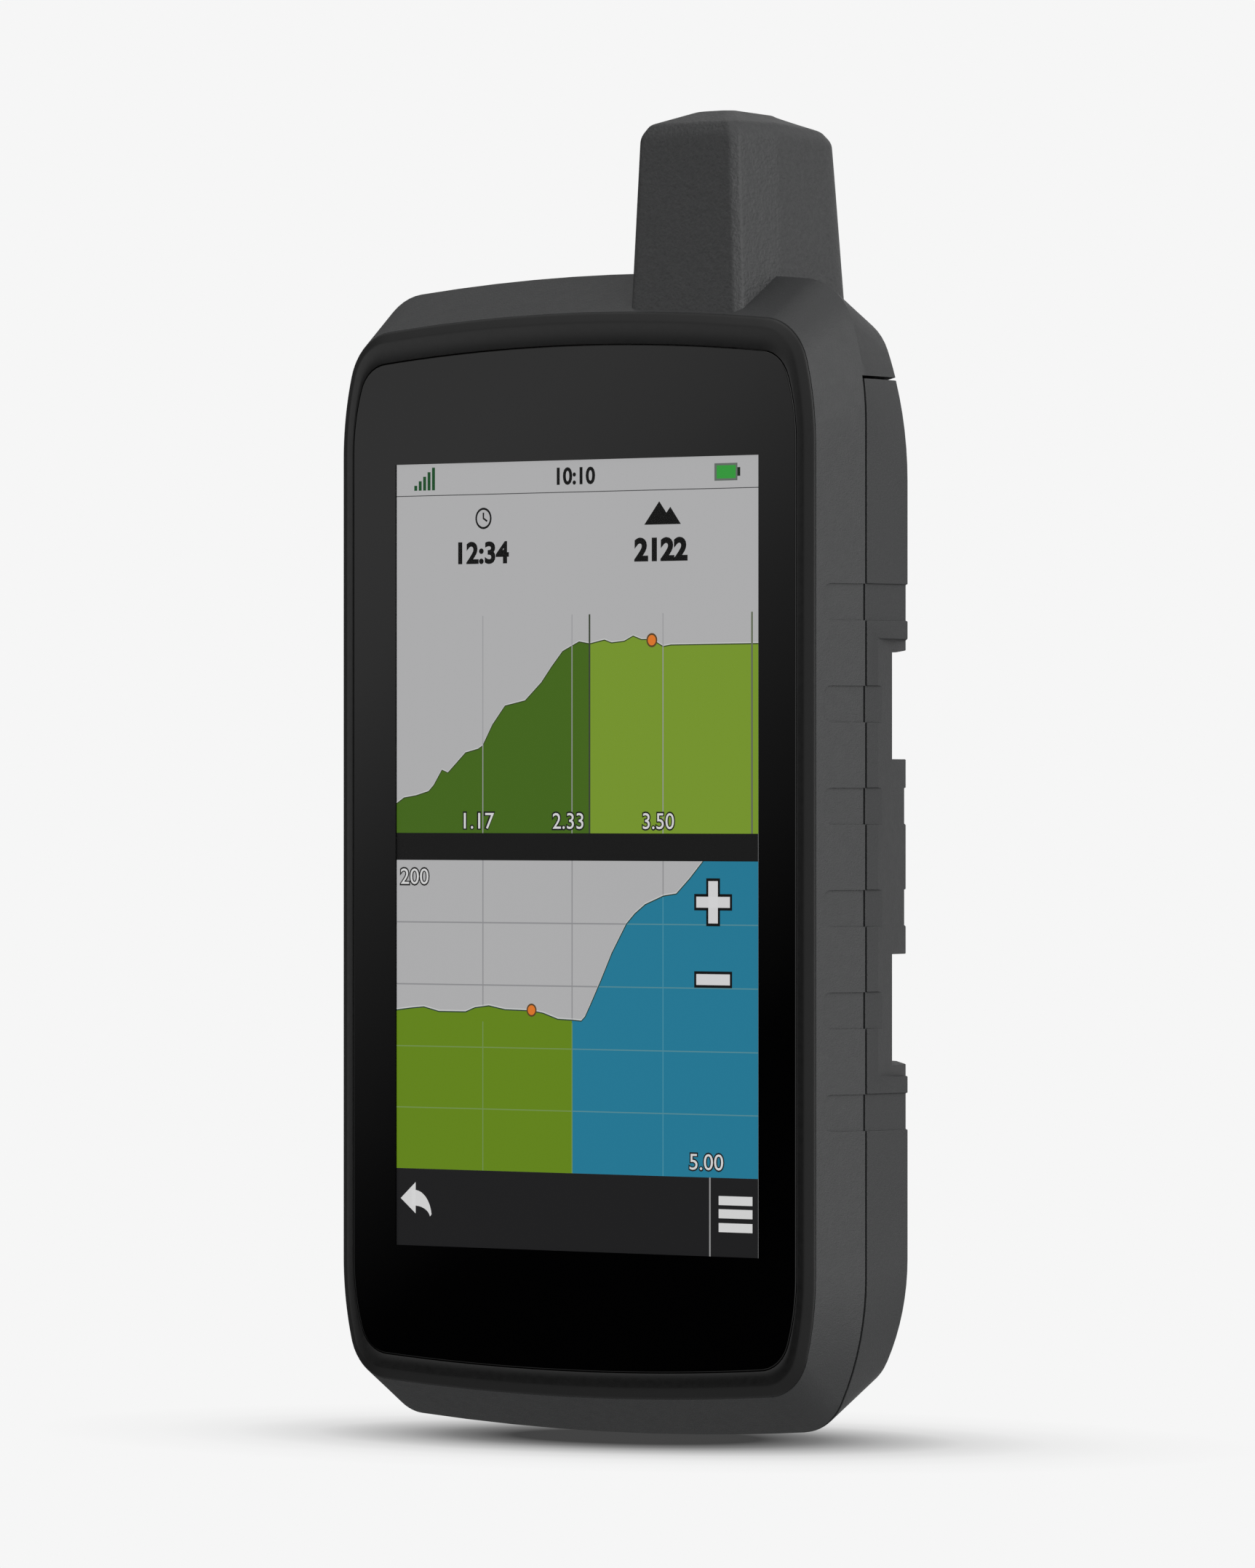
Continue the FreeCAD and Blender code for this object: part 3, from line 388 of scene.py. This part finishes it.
def even(line, count):
    """A line resampled at even steps of its own length."""
    run = np.concatenate([[0], np.cumsum(np.hypot(*np.diff(line, axis=0).T))])
    steps = np.linspace(0, run[-1], count)
    return np.stack([np.interp(steps, run, line[:, 0]), np.interp(steps, run, line[:, 1])], 1)


GLASS = Outline(40.35, 8.9, 150.8, (480, 5.2, 30, 18), (360, 5, 30, 18))
RIM = Outline(43.05, 5.25, 155.3, (480, 7, 45, 15), (360, 8, 45, 15))
PLAIN_SIDES = np.linspace(SIDE_TOP, SIDE_LOW, 12)


def ring_of(outlines, depths):
    """Rows of points, one outline at one depth each."""
    loops = np.stack([outline.loop(PLAIN_SIDES) for outline in outlines])
    depth = np.broadcast_to(np.array(depths)[:, None], loops.shape[:2])
    return np.stack([loops[..., 0], depth + FRONT_Y, loops[..., 1]], 2)


def mesh_of(name, points, faces, finish, body, stands_for=(), sharp=35, merge=1e-6):
    """One finished piece: doubles merged, faces turned outwards, and shaded smooth but for its
    edges and for any face of five corners or more."""
    mesh = bpy.data.meshes.new(name)
    mesh.from_pydata(points * MM, [], faces)
    form = bmesh.new()
    form.from_mesh(mesh)
    bmesh.ops.remove_doubles(form, verts=form.verts, dist=merge)
    bmesh.ops.recalc_face_normals(form, faces=form.faces)
    form.to_mesh(mesh)
    form.free()
    corners = np.empty(len(mesh.polygons), np.int32)
    mesh.polygons.foreach_get("loop_total", corners)
    mesh.set_sharp_from_angle(angle=np.radians(sharp))  # this clears flat faces, so they come after
    mesh.polygons.foreach_set("use_smooth", corners < 5)
    mesh.materials.append(finish.material)
    piece = bpy.data.objects.new(name, mesh)
    scene.collection.objects.link(piece)
    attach(piece, body)
    if stands_for:
        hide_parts(*stands_for)


def grid_faces(grid, round_rows=False):
    """Four-cornered faces between neighbouring points of a grid. Each row of points closes on
    itself, and the last row may join the first."""
    index = np.arange(grid.shape[0] * grid.shape[1]).reshape(grid.shape[:2])
    index = np.concatenate([index, index[:, :1]], 1)
    if round_rows:
        index = np.concatenate([index, index[:1]], 0)
    around = [index[:-1, :-1], index[:-1, 1:], index[1:, 1:], index[1:, :-1]]
    return np.stack(around, -1).reshape(-1, 4).tolist()


bezel_rows = [
    (GLASS.inset(-0.12), 1.3), (GLASS.inset(-0.12), 0.14), (GLASS.inset(-0.15), 0.06),
    (GLASS.inset(-0.24), 0.02), (RIM.inset(2.4), 0.02), (RIM.inset(1.6), 0.08),
    (RIM.inset(1.33), 0.13), (RIM.inset(1.1), 0.23),
    (RIM.inset(0.3), 0.65), (RIM.inset(0.09), 0.77), (RIM, 0.88), (RIM, 1.0), (RIM.inset(1.9), 1.0),
    (RIM.inset(1.9), 2.6), (GLASS.inset(2.2), 2.6), (GLASS.inset(2.2), 1.3)]
bezel = ring_of(*zip(*bezel_rows))
bezel_finish = grain(Finish("bezel_polycarbonate"), 0.00012, 0.000006,
                     (0.005, 0.005, 0.005), (0.008, 0.008, 0.008), rough=0.26)
mesh_of("bezel", bezel.reshape(-1, 3), grid_faces(bezel, round_rows=True), bezel_finish, "root",
        ["front_bezel"], sharp=28)


# ---- Cover glass, touch sensor and tape ---------------------------------------------------------------
# Chemically strengthened glass with ground edges. A black ink border is printed on its back, and
# the touch film is laminated behind it; double-sided tape round the edge holds it in the bezel.
EDGE = 0.15
glass_rows = [(GLASS, 1.1), (GLASS, EDGE)]
glass_rows += [(GLASS.inset(EDGE * (1 - np.cos(a))), EDGE * (1 - np.sin(a)))
               for a in np.radians((15, 30, 45, 60, 75, 90))]
glass = ring_of(*zip(*glass_rows))
SCREEN_HALF, SCREEN_LOW, SCREEN_TOP = 33.0, 25.4, 135.0
WINDOW_SHIFT, WINDOW_HALF = 0.65, 33.1          # clear window in the printed border

glass_finish = Finish("cover_glass", Base_Color=(0.0008, 0.0008, 0.0009, 1), Roughness=0.06, IOR=1.5)
at = glass_finish.node("SeparateXYZ", {}, {0: glass_finish.place()})
wide, tall = at.out("X"), at.out("Z")
inside = ((wide < (WINDOW_SHIFT + WINDOW_HALF) * MM) * (wide > (WINDOW_SHIFT - WINDOW_HALF) * MM)
          * (tall < SCREEN_TOP * MM) * (tall > SCREEN_LOW * MM))
smear = glass_finish.noise(0.012, 3.0, stretch=(1, 1, 0.4))
glass_finish.feed(Alpha=1 - 0.93 * inside, Roughness=0.05 + 0.03 * smear)


def capped(grid):
    """A grid's faces, with its first and last rows each closed by one flat face."""
    rows, columns = grid.shape[:2]
    ends = [list(range(columns))[::-1], list(range((rows - 1) * columns, rows * columns))]
    return grid_faces(grid) + ends


mesh_of("glass_pane", glass.reshape(-1, 3), capped(glass), glass_finish, "root",
        ["cover_glass"], sharp=50)

film = Finish("touch_film", Base_Color=(0.6, 0.6, 0.6, 1), Roughness=0.2)
film.feed(Alpha=0.02 + 0.01 * film.noise(0.02))
tape = Finish("double_sided_tape", Roughness=0.5)
tape.feed(Base_Color=tape.blend(tape.noise(0.002), (0.015, 0.015, 0.015), (0.03, 0.03, 0.03)))


# ---- Screen --------------------------------------------------------------------------------------------
# A transflective display with its own backlight. Its picture is flat colour on the panel's face:
# two rising profiles over grids, readouts in numerals, and plain signs to touch.
PICTURE_DEPTH, PICTURE_SHIFT, LAYER = 0.3, 0.5, 0.01
INKS, SHAPES = [], []


def ink(points, colour, layer):
    """A flat patch of one colour. Points are millimetres across and up; a layer stands 0.01 mm
    in front of the one before."""
    SHAPES.append(np.column_stack([np.array(points, float), np.full(len(points), layer)]))
    INKS.append(colour)


def panel(x0, x1, z0, z1, colour, layer=0):
    ink([(x0, z0), (x1, z0), (x1, z1), (x0, z1)], colour, layer)


def stroke(points, width, colour, layer):
    """A line drawn with a pen: the path shifted to both sides of itself by half the width."""
    path = np.array(points, float)
    along = np.gradient(path, axis=0)
    side = np.stack([-along[:, 1], along[:, 0]], 1) / np.hypot(*along.T)[:, None] * width / 2
    one, other = path + side, path - side
    for a, b, c, d in zip(one[:-1], other[:-1], other[1:], one[1:]):
        ink([a, b, c, d], colour, layer)


def dot(x, z, radius, colour, layer, squeeze=1.0):
    turn = np.linspace(0, 2 * np.pi, 28)[:-1]
    ink(np.stack([x + radius * squeeze * np.cos(turn), z + radius * np.sin(turn)], 1), colour, layer)


def figures(text, x, z, height, colour, layer, width, weight):
    """Numerals set to a height and a width, centred on a point."""
    curve = bpy.data.curves.new(text, "FONT")
    curve.body, curve.offset, curve.resolution_u = text, weight, 4
    holder = bpy.data.objects.new(text, curve)
    scene.collection.objects.link(holder)
    flat = bpy.data.meshes.new_from_object(holder.evaluated_get(bpy.context.evaluated_depsgraph_get()))
    at = np.empty(3 * len(flat.vertices), np.float32)
    flat.vertices.foreach_get("co", at)
    at = at.reshape(-1, 3)[:, :2].astype(float)
    low, high = at.min(0), at.max(0)
    at = (at - (low + high) / 2) * (np.array([width, height]) / (high - low)) + (x, z)
    for face in flat.polygons:
        ink(at[list(face.vertices)], colour, layer)
    bpy.data.objects.remove(holder)


def edged(text, x, z, height, width):
    """Pale numerals with a dark edge."""
    figures(text, x, z, height + 0.45, (0.012, 0.012, 0.012), 5, width + 0.4, 0.055)
    figures(text, x, z, height, (0.62, 0.62, 0.62), 6, width, 0.0)


def srgb(*levels):
    """Display levels, 0 to 255, as the light they give."""
    level = np.array(levels) / 255
    return tuple(np.where(level <= 0.04045, level / 12.92, ((level + 0.055) / 1.055) ** 2.4))


PALE, DARK, BLACK = srgb(171, 171, 172), srgb(30, 30, 31), srgb(18, 18, 18)
FOREST, LEAF, MOSS, LAKE = srgb(66, 99, 27), srgb(116, 146, 45), srgb(98, 130, 27), srgb(36, 118, 146)
WHITE, FAINT, ORANGE = srgb(192, 193, 193), srgb(150, 150, 152), srgb(214, 116, 44)
LEFT, RIGHT = -SCREEN_HALF, SCREEN_HALF
panel(LEFT, RIGHT, SCREEN_LOW, SCREEN_TOP, PALE)

# Status row: signal bars, the clock and the battery.
for step in range(5):
    panel(-29.7 + 0.83 * step, -29.15 + 0.83 * step, 131.3, 132.0 + 0.62 * step, srgb(28, 74, 40), 1)
figures("10:10", 0.2, 132.8, 2.45, BLACK, 1, 7.0, 0.03)
panel(25.2, 29.3, 131.6, 134.0, srgb(96, 104, 98), 1)
panel(29.3, 29.8, 132.2, 133.4, srgb(30, 40, 32), 1)
panel(25.6, 29.0, 131.9, 133.7, srgb(52, 148, 60), 2)
panel(LEFT, RIGHT, 130.5, 130.62, srgb(70, 70, 72), 1)

# Readouts: a clock face over the time, and a peak over the height.
dot(-16.8, 127.2, 1.5, BLACK, 1)
dot(-16.8, 127.2, 1.2, PALE, 2)
stroke([(-16.8, 128.0), (-16.8, 127.2), (-16.1, 126.8)], 0.28, BLACK, 3)
ink([(12.6, 125.8), (15.3, 129.0), (16.6, 127.4), (17.3, 128.2), (19.2, 125.8)], BLACK, 1)
figures("12:34", -16.8, 122.4, 3.15, BLACK, 1, 9.4, 0.035)
figures("2122", 15.6, 122.4, 3.3, BLACK, 1, 9.6, 0.05)

# Upper chart: ground climbed so far in dark green, ground ahead in light green.
CHART_LOW, SPLIT = 83.3, 2.7
CLIMB = np.array([(-33, 87.4), (-31.6, 88.2), (-29.4, 88.5), (-27.0, 89.1), (-26.0, 90.0),
                  (-24.5, 92.1), (-23.4, 91.7), (-20.1, 94.5), (-17.8, 95.0), (-16.9, 95.5),
                  (-15.1, 98.4), (-12.8, 101.0), (-9.1, 101.7),
                  (-6.1, 104.2), (-4.2, 106.4), (-2.2, 108.5), (0.8, 109.8), (2.7, 109.5)])
AHEAD = np.array([(2.7, 109.5), (5.4, 110.0), (6.7, 109.6), (9.0, 109.8), (10.6, 110.5),
                  (12.1, 110.0), (14.0, 110.0), (16.0, 109.0), (17.4, 109.2), (33, 109.25)])
for profile, colour in ((CLIMB, FOREST), (AHEAD, LEAF)):
    ink([*profile, (profile[-1][0], CHART_LOW), (profile[0][0], CHART_LOW)], colour, 1)
    stroke(profile + (0, 0.14), 0.16, WHITE, 1)
    stroke(profile, 0.16, srgb(52, 66, 34), 2)
for x, thick, colour in ((-16.9, 0.16, FAINT), (-0.5, 0.16, FAINT), (SPLIT, 0.3, srgb(58, 66, 52)),
                         (16.0, 0.16, FAINT), (31.9, 0.3, srgb(96, 104, 84))):
    panel(x - thick / 2, x + thick / 2, CHART_LOW, 113.6, colour, 3)
dot(14.0, 109.9, 0.98, srgb(88, 64, 36), 4)
dot(14.0, 109.9, 0.72, ORANGE, 5)
for text, x in (("1.17", -17.6), ("2.33", -1.2), ("3.50", 15.2)):
    edged(text, x, 85.0, 2.2, 5.6)
panel(LEFT, RIGHT, 79.5, CHART_LOW, srgb(24, 24, 24), 4)

# Lower chart, over its grid.
FLOOR, CEILING = 36.2, 79.5
GRASS = np.array([(-33, 58.4), (-30.4, 58.7), (-27.9, 58.9), (-25.1, 58.3), (-20.1, 58.3),
                  (-18.4, 58.9), (-15.8, 59.2), (-12.8, 58.7), (-7.9, 58.6), (-5.8, 58.3),
                  (-3.1, 57.5), (-0.5, 57.4)])
WATER = np.array([(-0.5, 57.4), (1.2, 57.3), (1.9, 57.9), (2.9, 59.6), (4.8, 63.0), (6.8, 66.8),
                  (9.4, 70.8), (10.9, 72.2), (12.8, 73.5), (16.1, 74.7), (18.4, 75.0), (20.8, 77.1),
                  (23.2, 79.5), (33, 79.5)])
for x in (-16.9, -0.5, 16.0):
    panel(x - 0.1, x + 0.1, FLOOR, CEILING, srgb(140, 140, 142), 1)
    end, colour = (57, srgb(112, 140, 84)) if x < 0 else (74.6, srgb(72, 138, 158))
    panel(x - 0.08, x + 0.08, FLOOR, end, colour, 3)
for z in (70.8, 62.1, 53.4, 44.8):
    panel(LEFT, RIGHT, z - 0.1, z + 0.1, srgb(140, 140, 142), 1)
    panel(LEFT, -0.5, z - 0.08, z + 0.08, srgb(112, 140, 76), 3 if z < 57 else -1)
    start = np.interp(z, WATER[1:-1, 1], WATER[1:-1, 0])
    panel(start if z > 58 else -0.5, RIGHT, z - 0.08, z + 0.08, srgb(82, 134, 146), 3)
for profile, colour in ((GRASS, MOSS), (WATER, LAKE)):
    ink([*profile, (profile[-1][0], FLOOR), (profile[0][0], FLOOR)], colour, 2)
    stroke((profile + (0, 0.16))[:-1 if profile is WATER else None], 0.18, WHITE, 1)
    stroke(profile[:-1 if profile is WATER else None], 0.16, srgb(40, 60, 50), 3)
dot(-7.9, 58.7, 0.92, srgb(88, 64, 36), 4)
dot(-7.9, 58.7, 0.68, ORANGE, 5)
edged("200", -29.6, 77.2, 2.2, 5.2)
edged("5.00", 23.8, 38.3, 2.2, 6.0)
for grow, colour, layer in ((0.38, BLACK, 5), (0.0, srgb(204, 204, 205), 6)):
    for half_x, half_z, z in ((3.0, 0.75, 73.9), (0.85, 2.9, 73.9), (3.0, 0.75, 63.3)):
        panel(25.0 - half_x - grow, 25.0 + half_x + grow, z - half_z - grow, z + half_z + grow,
              colour, layer)

# Tool row: back arrow and menu bars.
panel(LEFT, RIGHT, SCREEN_LOW, FLOOR, DARK, 4)
panel(24.3, 24.55, SCREEN_LOW, FLOOR, srgb(140, 140, 140), 5)
ICON = srgb(206, 206, 206)
ink([(-32.2, 32.0), (-29.4, 34.3), (-29.4, 29.9)], ICON, 6)
swing = np.radians(np.linspace(100, 8, 12))
outer = np.stack([-29.6 + 3.2 * np.cos(swing), 29.3 + 3.9 * np.sin(swing)], 1)
inner = np.stack([-29.6 + 2.9 * np.cos(swing), 29.3 + 1.7 * np.sin(swing)], 1)
for a, b, c, d in zip(outer[:-1], inner[:-1], inner[1:], outer[1:]):
    ink([a, b, c, d], ICON, 6)
for z in (33.1, 31.3, 29.4):
    panel(26.0, 32.0, z - 0.62, z + 0.62, ICON, 6)

corners = np.concatenate(SHAPES)
ends = np.cumsum([len(shape) for shape in SHAPES])
faces = [list(range(last - len(shape), last)) for shape, last in zip(SHAPES, ends)]
picture_points = np.stack([corners[:, 0] + PICTURE_SHIFT,
                           FRONT_Y + PICTURE_DEPTH - LAYER * corners[:, 2], corners[:, 1]], 1) * MM
picture_mesh = bpy.data.meshes.new("screen_picture")
picture_mesh.from_pydata(picture_points, [], faces)
tint = picture_mesh.color_attributes.new("ink", "FLOAT_COLOR", "CORNER")
shades = np.concatenate([np.tile((*colour, 1), (len(shape), 1)) for colour, shape in zip(INKS, SHAPES)])
tint.data.foreach_set("color", shades.astype(np.float32).ravel())
flip = bmesh.new()
flip.from_mesh(picture_mesh)
bmesh.ops.reverse_faces(flip, faces=[face for face in flip.faces if face.normal.y > 0])
flip.to_mesh(picture_mesh)
flip.free()
picture = bpy.data.objects.new("screen_picture", picture_mesh)
scene.collection.objects.link(picture)
lit_panel = Finish("lit_panel", Roughness=0.45, Specular_IOR_Level=0.1, Emission_Strength=1.0)
shown = lit_panel.node("Attribute", {"attribute_name": "ink"}).out("Color")
columns = lit_panel.node("TexWave", {"bands_direction": "X"},
                         {"Vector": lit_panel.place(), "Scale": 2200.0})
shown = lit_panel.blend(0.05 * columns, shown, (0, 0, 0))
lit_panel.feed(Base_Color=lit_panel.blend(0.8, shown, (0, 0, 0)))
lit_panel.tree.links.new(shown.socket, lit_panel.shader.inputs["Emission Color"])
picture_mesh.materials.append(lit_panel.material)
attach(picture, "root")
panel_back = Finish("display_glass", Roughness=0.3)
panel_back.feed(Base_Color=panel_back.blend(panel_back.noise(0.004),
                                            (0.02, 0.02, 0.022), (0.035, 0.035, 0.04)))


# ---- Inner parts -------------------------------------------------------------------------------------
# What the case holds: pressed and tinned steel, moulded nylon, the laminated board with its
# chips, foam, film, gold-plated contacts, silicone seals and the ceramic core of the antenna.
def metal(name, colour, rough, brush=(1, 1, 12)):
    finish = Finish(name, Metallic=1.0)
    marks = finish.noise(0.0004, 4.0, stretch=brush)
    tone = finish.noise(0.006, 2.0)
    dull = tuple(0.8 * c for c in colour)
    finish.feed(Base_Color=finish.blend(tone, dull, colour), Roughness=rough + 0.18 * marks)
    return finish.bump(marks, 0.000004)


def moulded(name, colour, fine=0.0003, depth=0.00002, lift=1.35):
    return grain(Finish(name), fine, depth, colour, tuple(lift * c for c in colour))


steel = metal("brushed_steel", (0.52, 0.52, 0.53), 0.24)
tinned = metal("tinned_steel", (0.62, 0.62, 0.6), 0.2, (1, 1, 1))
gold = metal("gold_plate", (0.9, 0.66, 0.28), 0.16, (1, 1, 1))
copper = metal("copper_wire", (0.75, 0.4, 0.25), 0.22, (1, 1, 1))
nylon = moulded("inner_nylon", (0.020, 0.020, 0.022))
silicone = moulded("red_silicone", (0.30, 0.06, 0.035), depth=0.00001)
chip = moulded("chip_epoxy", (0.012, 0.012, 0.013), 0.00012)
pack = moulded("battery_case", (0.028, 0.028, 0.031))
ceramic = moulded("sintered_ceramic", (0.62, 0.6, 0.54), 0.0002, 0.00001, 1.1)
polyimide = moulded("polyimide_film", (0.42, 0.18, 0.03), 0.001, 0.000004, 1.2)
foam = moulded("closed_cell_foam", (0.014, 0.014, 0.014), 0.0005, 0.00012)
vent_film = moulded("vent_film", (0.75, 0.75, 0.75), 0.0002, 0.00002, 1.05)
board = Finish("solder_mask", Coat_Weight=0.3)
tracks = board.node("TexWave", {"bands_direction": "DIAGONAL"},
                    {"Vector": board.place(), "Scale": 260.0, "Distortion": 6.0, "Detail": 2.0})
board.feed(Base_Color=board.blend(tracks > 0.6, (0.008, 0.075, 0.035), (0.014, 0.12, 0.055)))
board.feed(Roughness=0.3 + 0.1 * board.noise(0.003))
made_of = {
    film: ["touch_sensor"], tape: ["glass_adhesive"], panel_back: ["lcd_panel"],
    steel: ["display_frame", "housing_screws", "backup_cell", "board_screws", "latch_cam",
            "latch_screw", "d_ring_pin", "speaker_mesh"],
    tinned: ["usb_receptacle", "processor_shield", "radio_shield", "card_holder"],
    gold: ["mount_contacts", "battery_contacts", "battery_terminals"], copper: ["antenna_elements"],
    nylon: ["backlight_unit", "rear_housing", "antenna_coax"],
    silicone: ["housing_seal", "power_key_seal", "cover_gasket"], rubber: ["latch_o_ring"],
    chip: ["power_switch", "speaker", "board_chips", "memory_card"],
    pack: ["battery_pack"], ceramic: ["antenna_core"],
    polyimide: ["display_flex", "switch_flex"], foam: ["battery_pads"], vent_film: ["vent_membrane"],
    board: ["main_board", "antenna_board"]}
for finish, names in made_of.items():
    for name in names:
        frame["nodes"][name].data.materials.clear()
        frame["nodes"][name].data.materials.append(finish.material)


# ---- Antenna stub --------------------------------------------------------------------------------------
# Hollow shroud over the wound antenna, moulded in nylon with a coarser grain than the case and
# welded to the shoulder. A flat front, two facets on its right, and a bevelled crown.
STUB_FOOT, STUB_BEND = 147.0, 178.4
FALL_FROM, FALL = 11.0, 0.08                    # the crown drops by this share of its depth past a point
FADE_FROM, FADE_OVER = 174.0, 9.0               # heights over which that drop comes in


def stub_corners(z, inset=0.0):
    """The outline at a height: each side leans in by its own share of the rise."""
    rise = z - 155.0
    left, right = 9.0 + 0.02 * rise + inset, 30.3 - 0.075 * rise - inset
    front, back = 1.35 + 0.055 * rise + inset, 28.0 - 0.03 * rise - inset
    return np.array([(left + 1, front), (right - 2.2, front), (right - 1.1, front + 0.9),
                     (right, front + 8), (right - 1.2, back - 3.2), (right - 4.6, back),
                     (left + 4.5, back), (left, back - 4), (left, front + 1)])


def bend(first, corner, last, steps):
    """Quadratic curves from first to last points, each drawn towards its corner: the squares and
    the double product of two shares that add up to one."""
    t = np.linspace(0, 1, steps)[None, :, None]
    points = (1 - t) ** 2 * first[:, None] + 2 * t * (1 - t) * corner[:, None] + t ** 2 * last[:, None]
    return points.reshape(-1, 2)


def eased(corners, reach, steps=7):
    """Each corner of a closed outline becomes a curve that leaves its sides a reach away."""
    before, after = np.roll(corners, 1, 0) - corners, np.roll(corners, -1, 0) - corners
    long = [np.linalg.norm(v, axis=1)[:, None] for v in (before, after)]
    first, last = (corners + v / n * np.minimum(reach, 0.45 * n) for v, n in zip((before, after), long))
    return bend(first, corners, last, steps)


# The crown steps in over two bevels whose meeting lines are eased, and falls away to the back.
# Known fault: past an inset of about 4.8 mm the outline's back corners cross and leave a small pit.
CROWN = np.array([(0, 178.6), (0, 179.4), (0.9, 181.1), (5.6, 183.0), (6.4, 183.0)])
BEND_REACH = np.array([0.8, 0.45, 0.5])[:, None]
CORNER_REACH = np.array([1.0, 0.35, 0.35, 0.6, 3.0, 2.6, 2.6, 2.6, 1.0])[:, None]
before, after = CROWN[:-2] - CROWN[1:-1], CROWN[2:] - CROWN[1:-1]
first, last = (CROWN[1:-1] + v / np.linalg.norm(v, axis=1)[:, None] * BEND_REACH for v in (before, after))
bends = bend(first, CROWN[1:-1], last, 6)
rows = [(0.0, z) for z in np.linspace(STUB_FOOT, STUB_BEND, 12)] + [*bends, CROWN[-1]]
stub = np.stack([np.column_stack([flat[:, 0], flat[:, 1] + FRONT_Y, np.full(len(flat), z)])
                 for inset, z in rows for flat in [eased(stub_corners(z, inset), CORNER_REACH)]])
depth = stub[..., 1] - FRONT_Y
fade = np.clip((stub[..., 2] - FADE_FROM) / FADE_OVER, 0, 1)
stub[..., 2] -= FALL * np.clip(depth - FALL_FROM, 0, None) * fade ** 2
stub_finish = grain(Finish("antenna_nylon"), 0.0004, 0.00014,
                    (0.033, 0.034, 0.035), (0.062, 0.063, 0.064), 0.8)
mesh_of("antenna_stub", stub.reshape(-1, 3), capped(stub), stub_finish, "root",
        ["antenna_shroud"], sharp=12)


# ---- Rear cover, latch and ring ---------------------------------------------------------------------
# The battery cover makes the whole back, in the same nylon as the front half. A quarter-turn
# latch with a folding steel ring holds it on.
cover_finish = grain(Finish("cover_nylon"), 0.00018, 0.00006, *CASE_GREYS)
soften("rear_cover", cover_finish)
soften("latch_rotor", moulded("latch_nylon", (0.022, 0.022, 0.023)), 0.2)
soften("d_ring", steel, 0.3, 4)
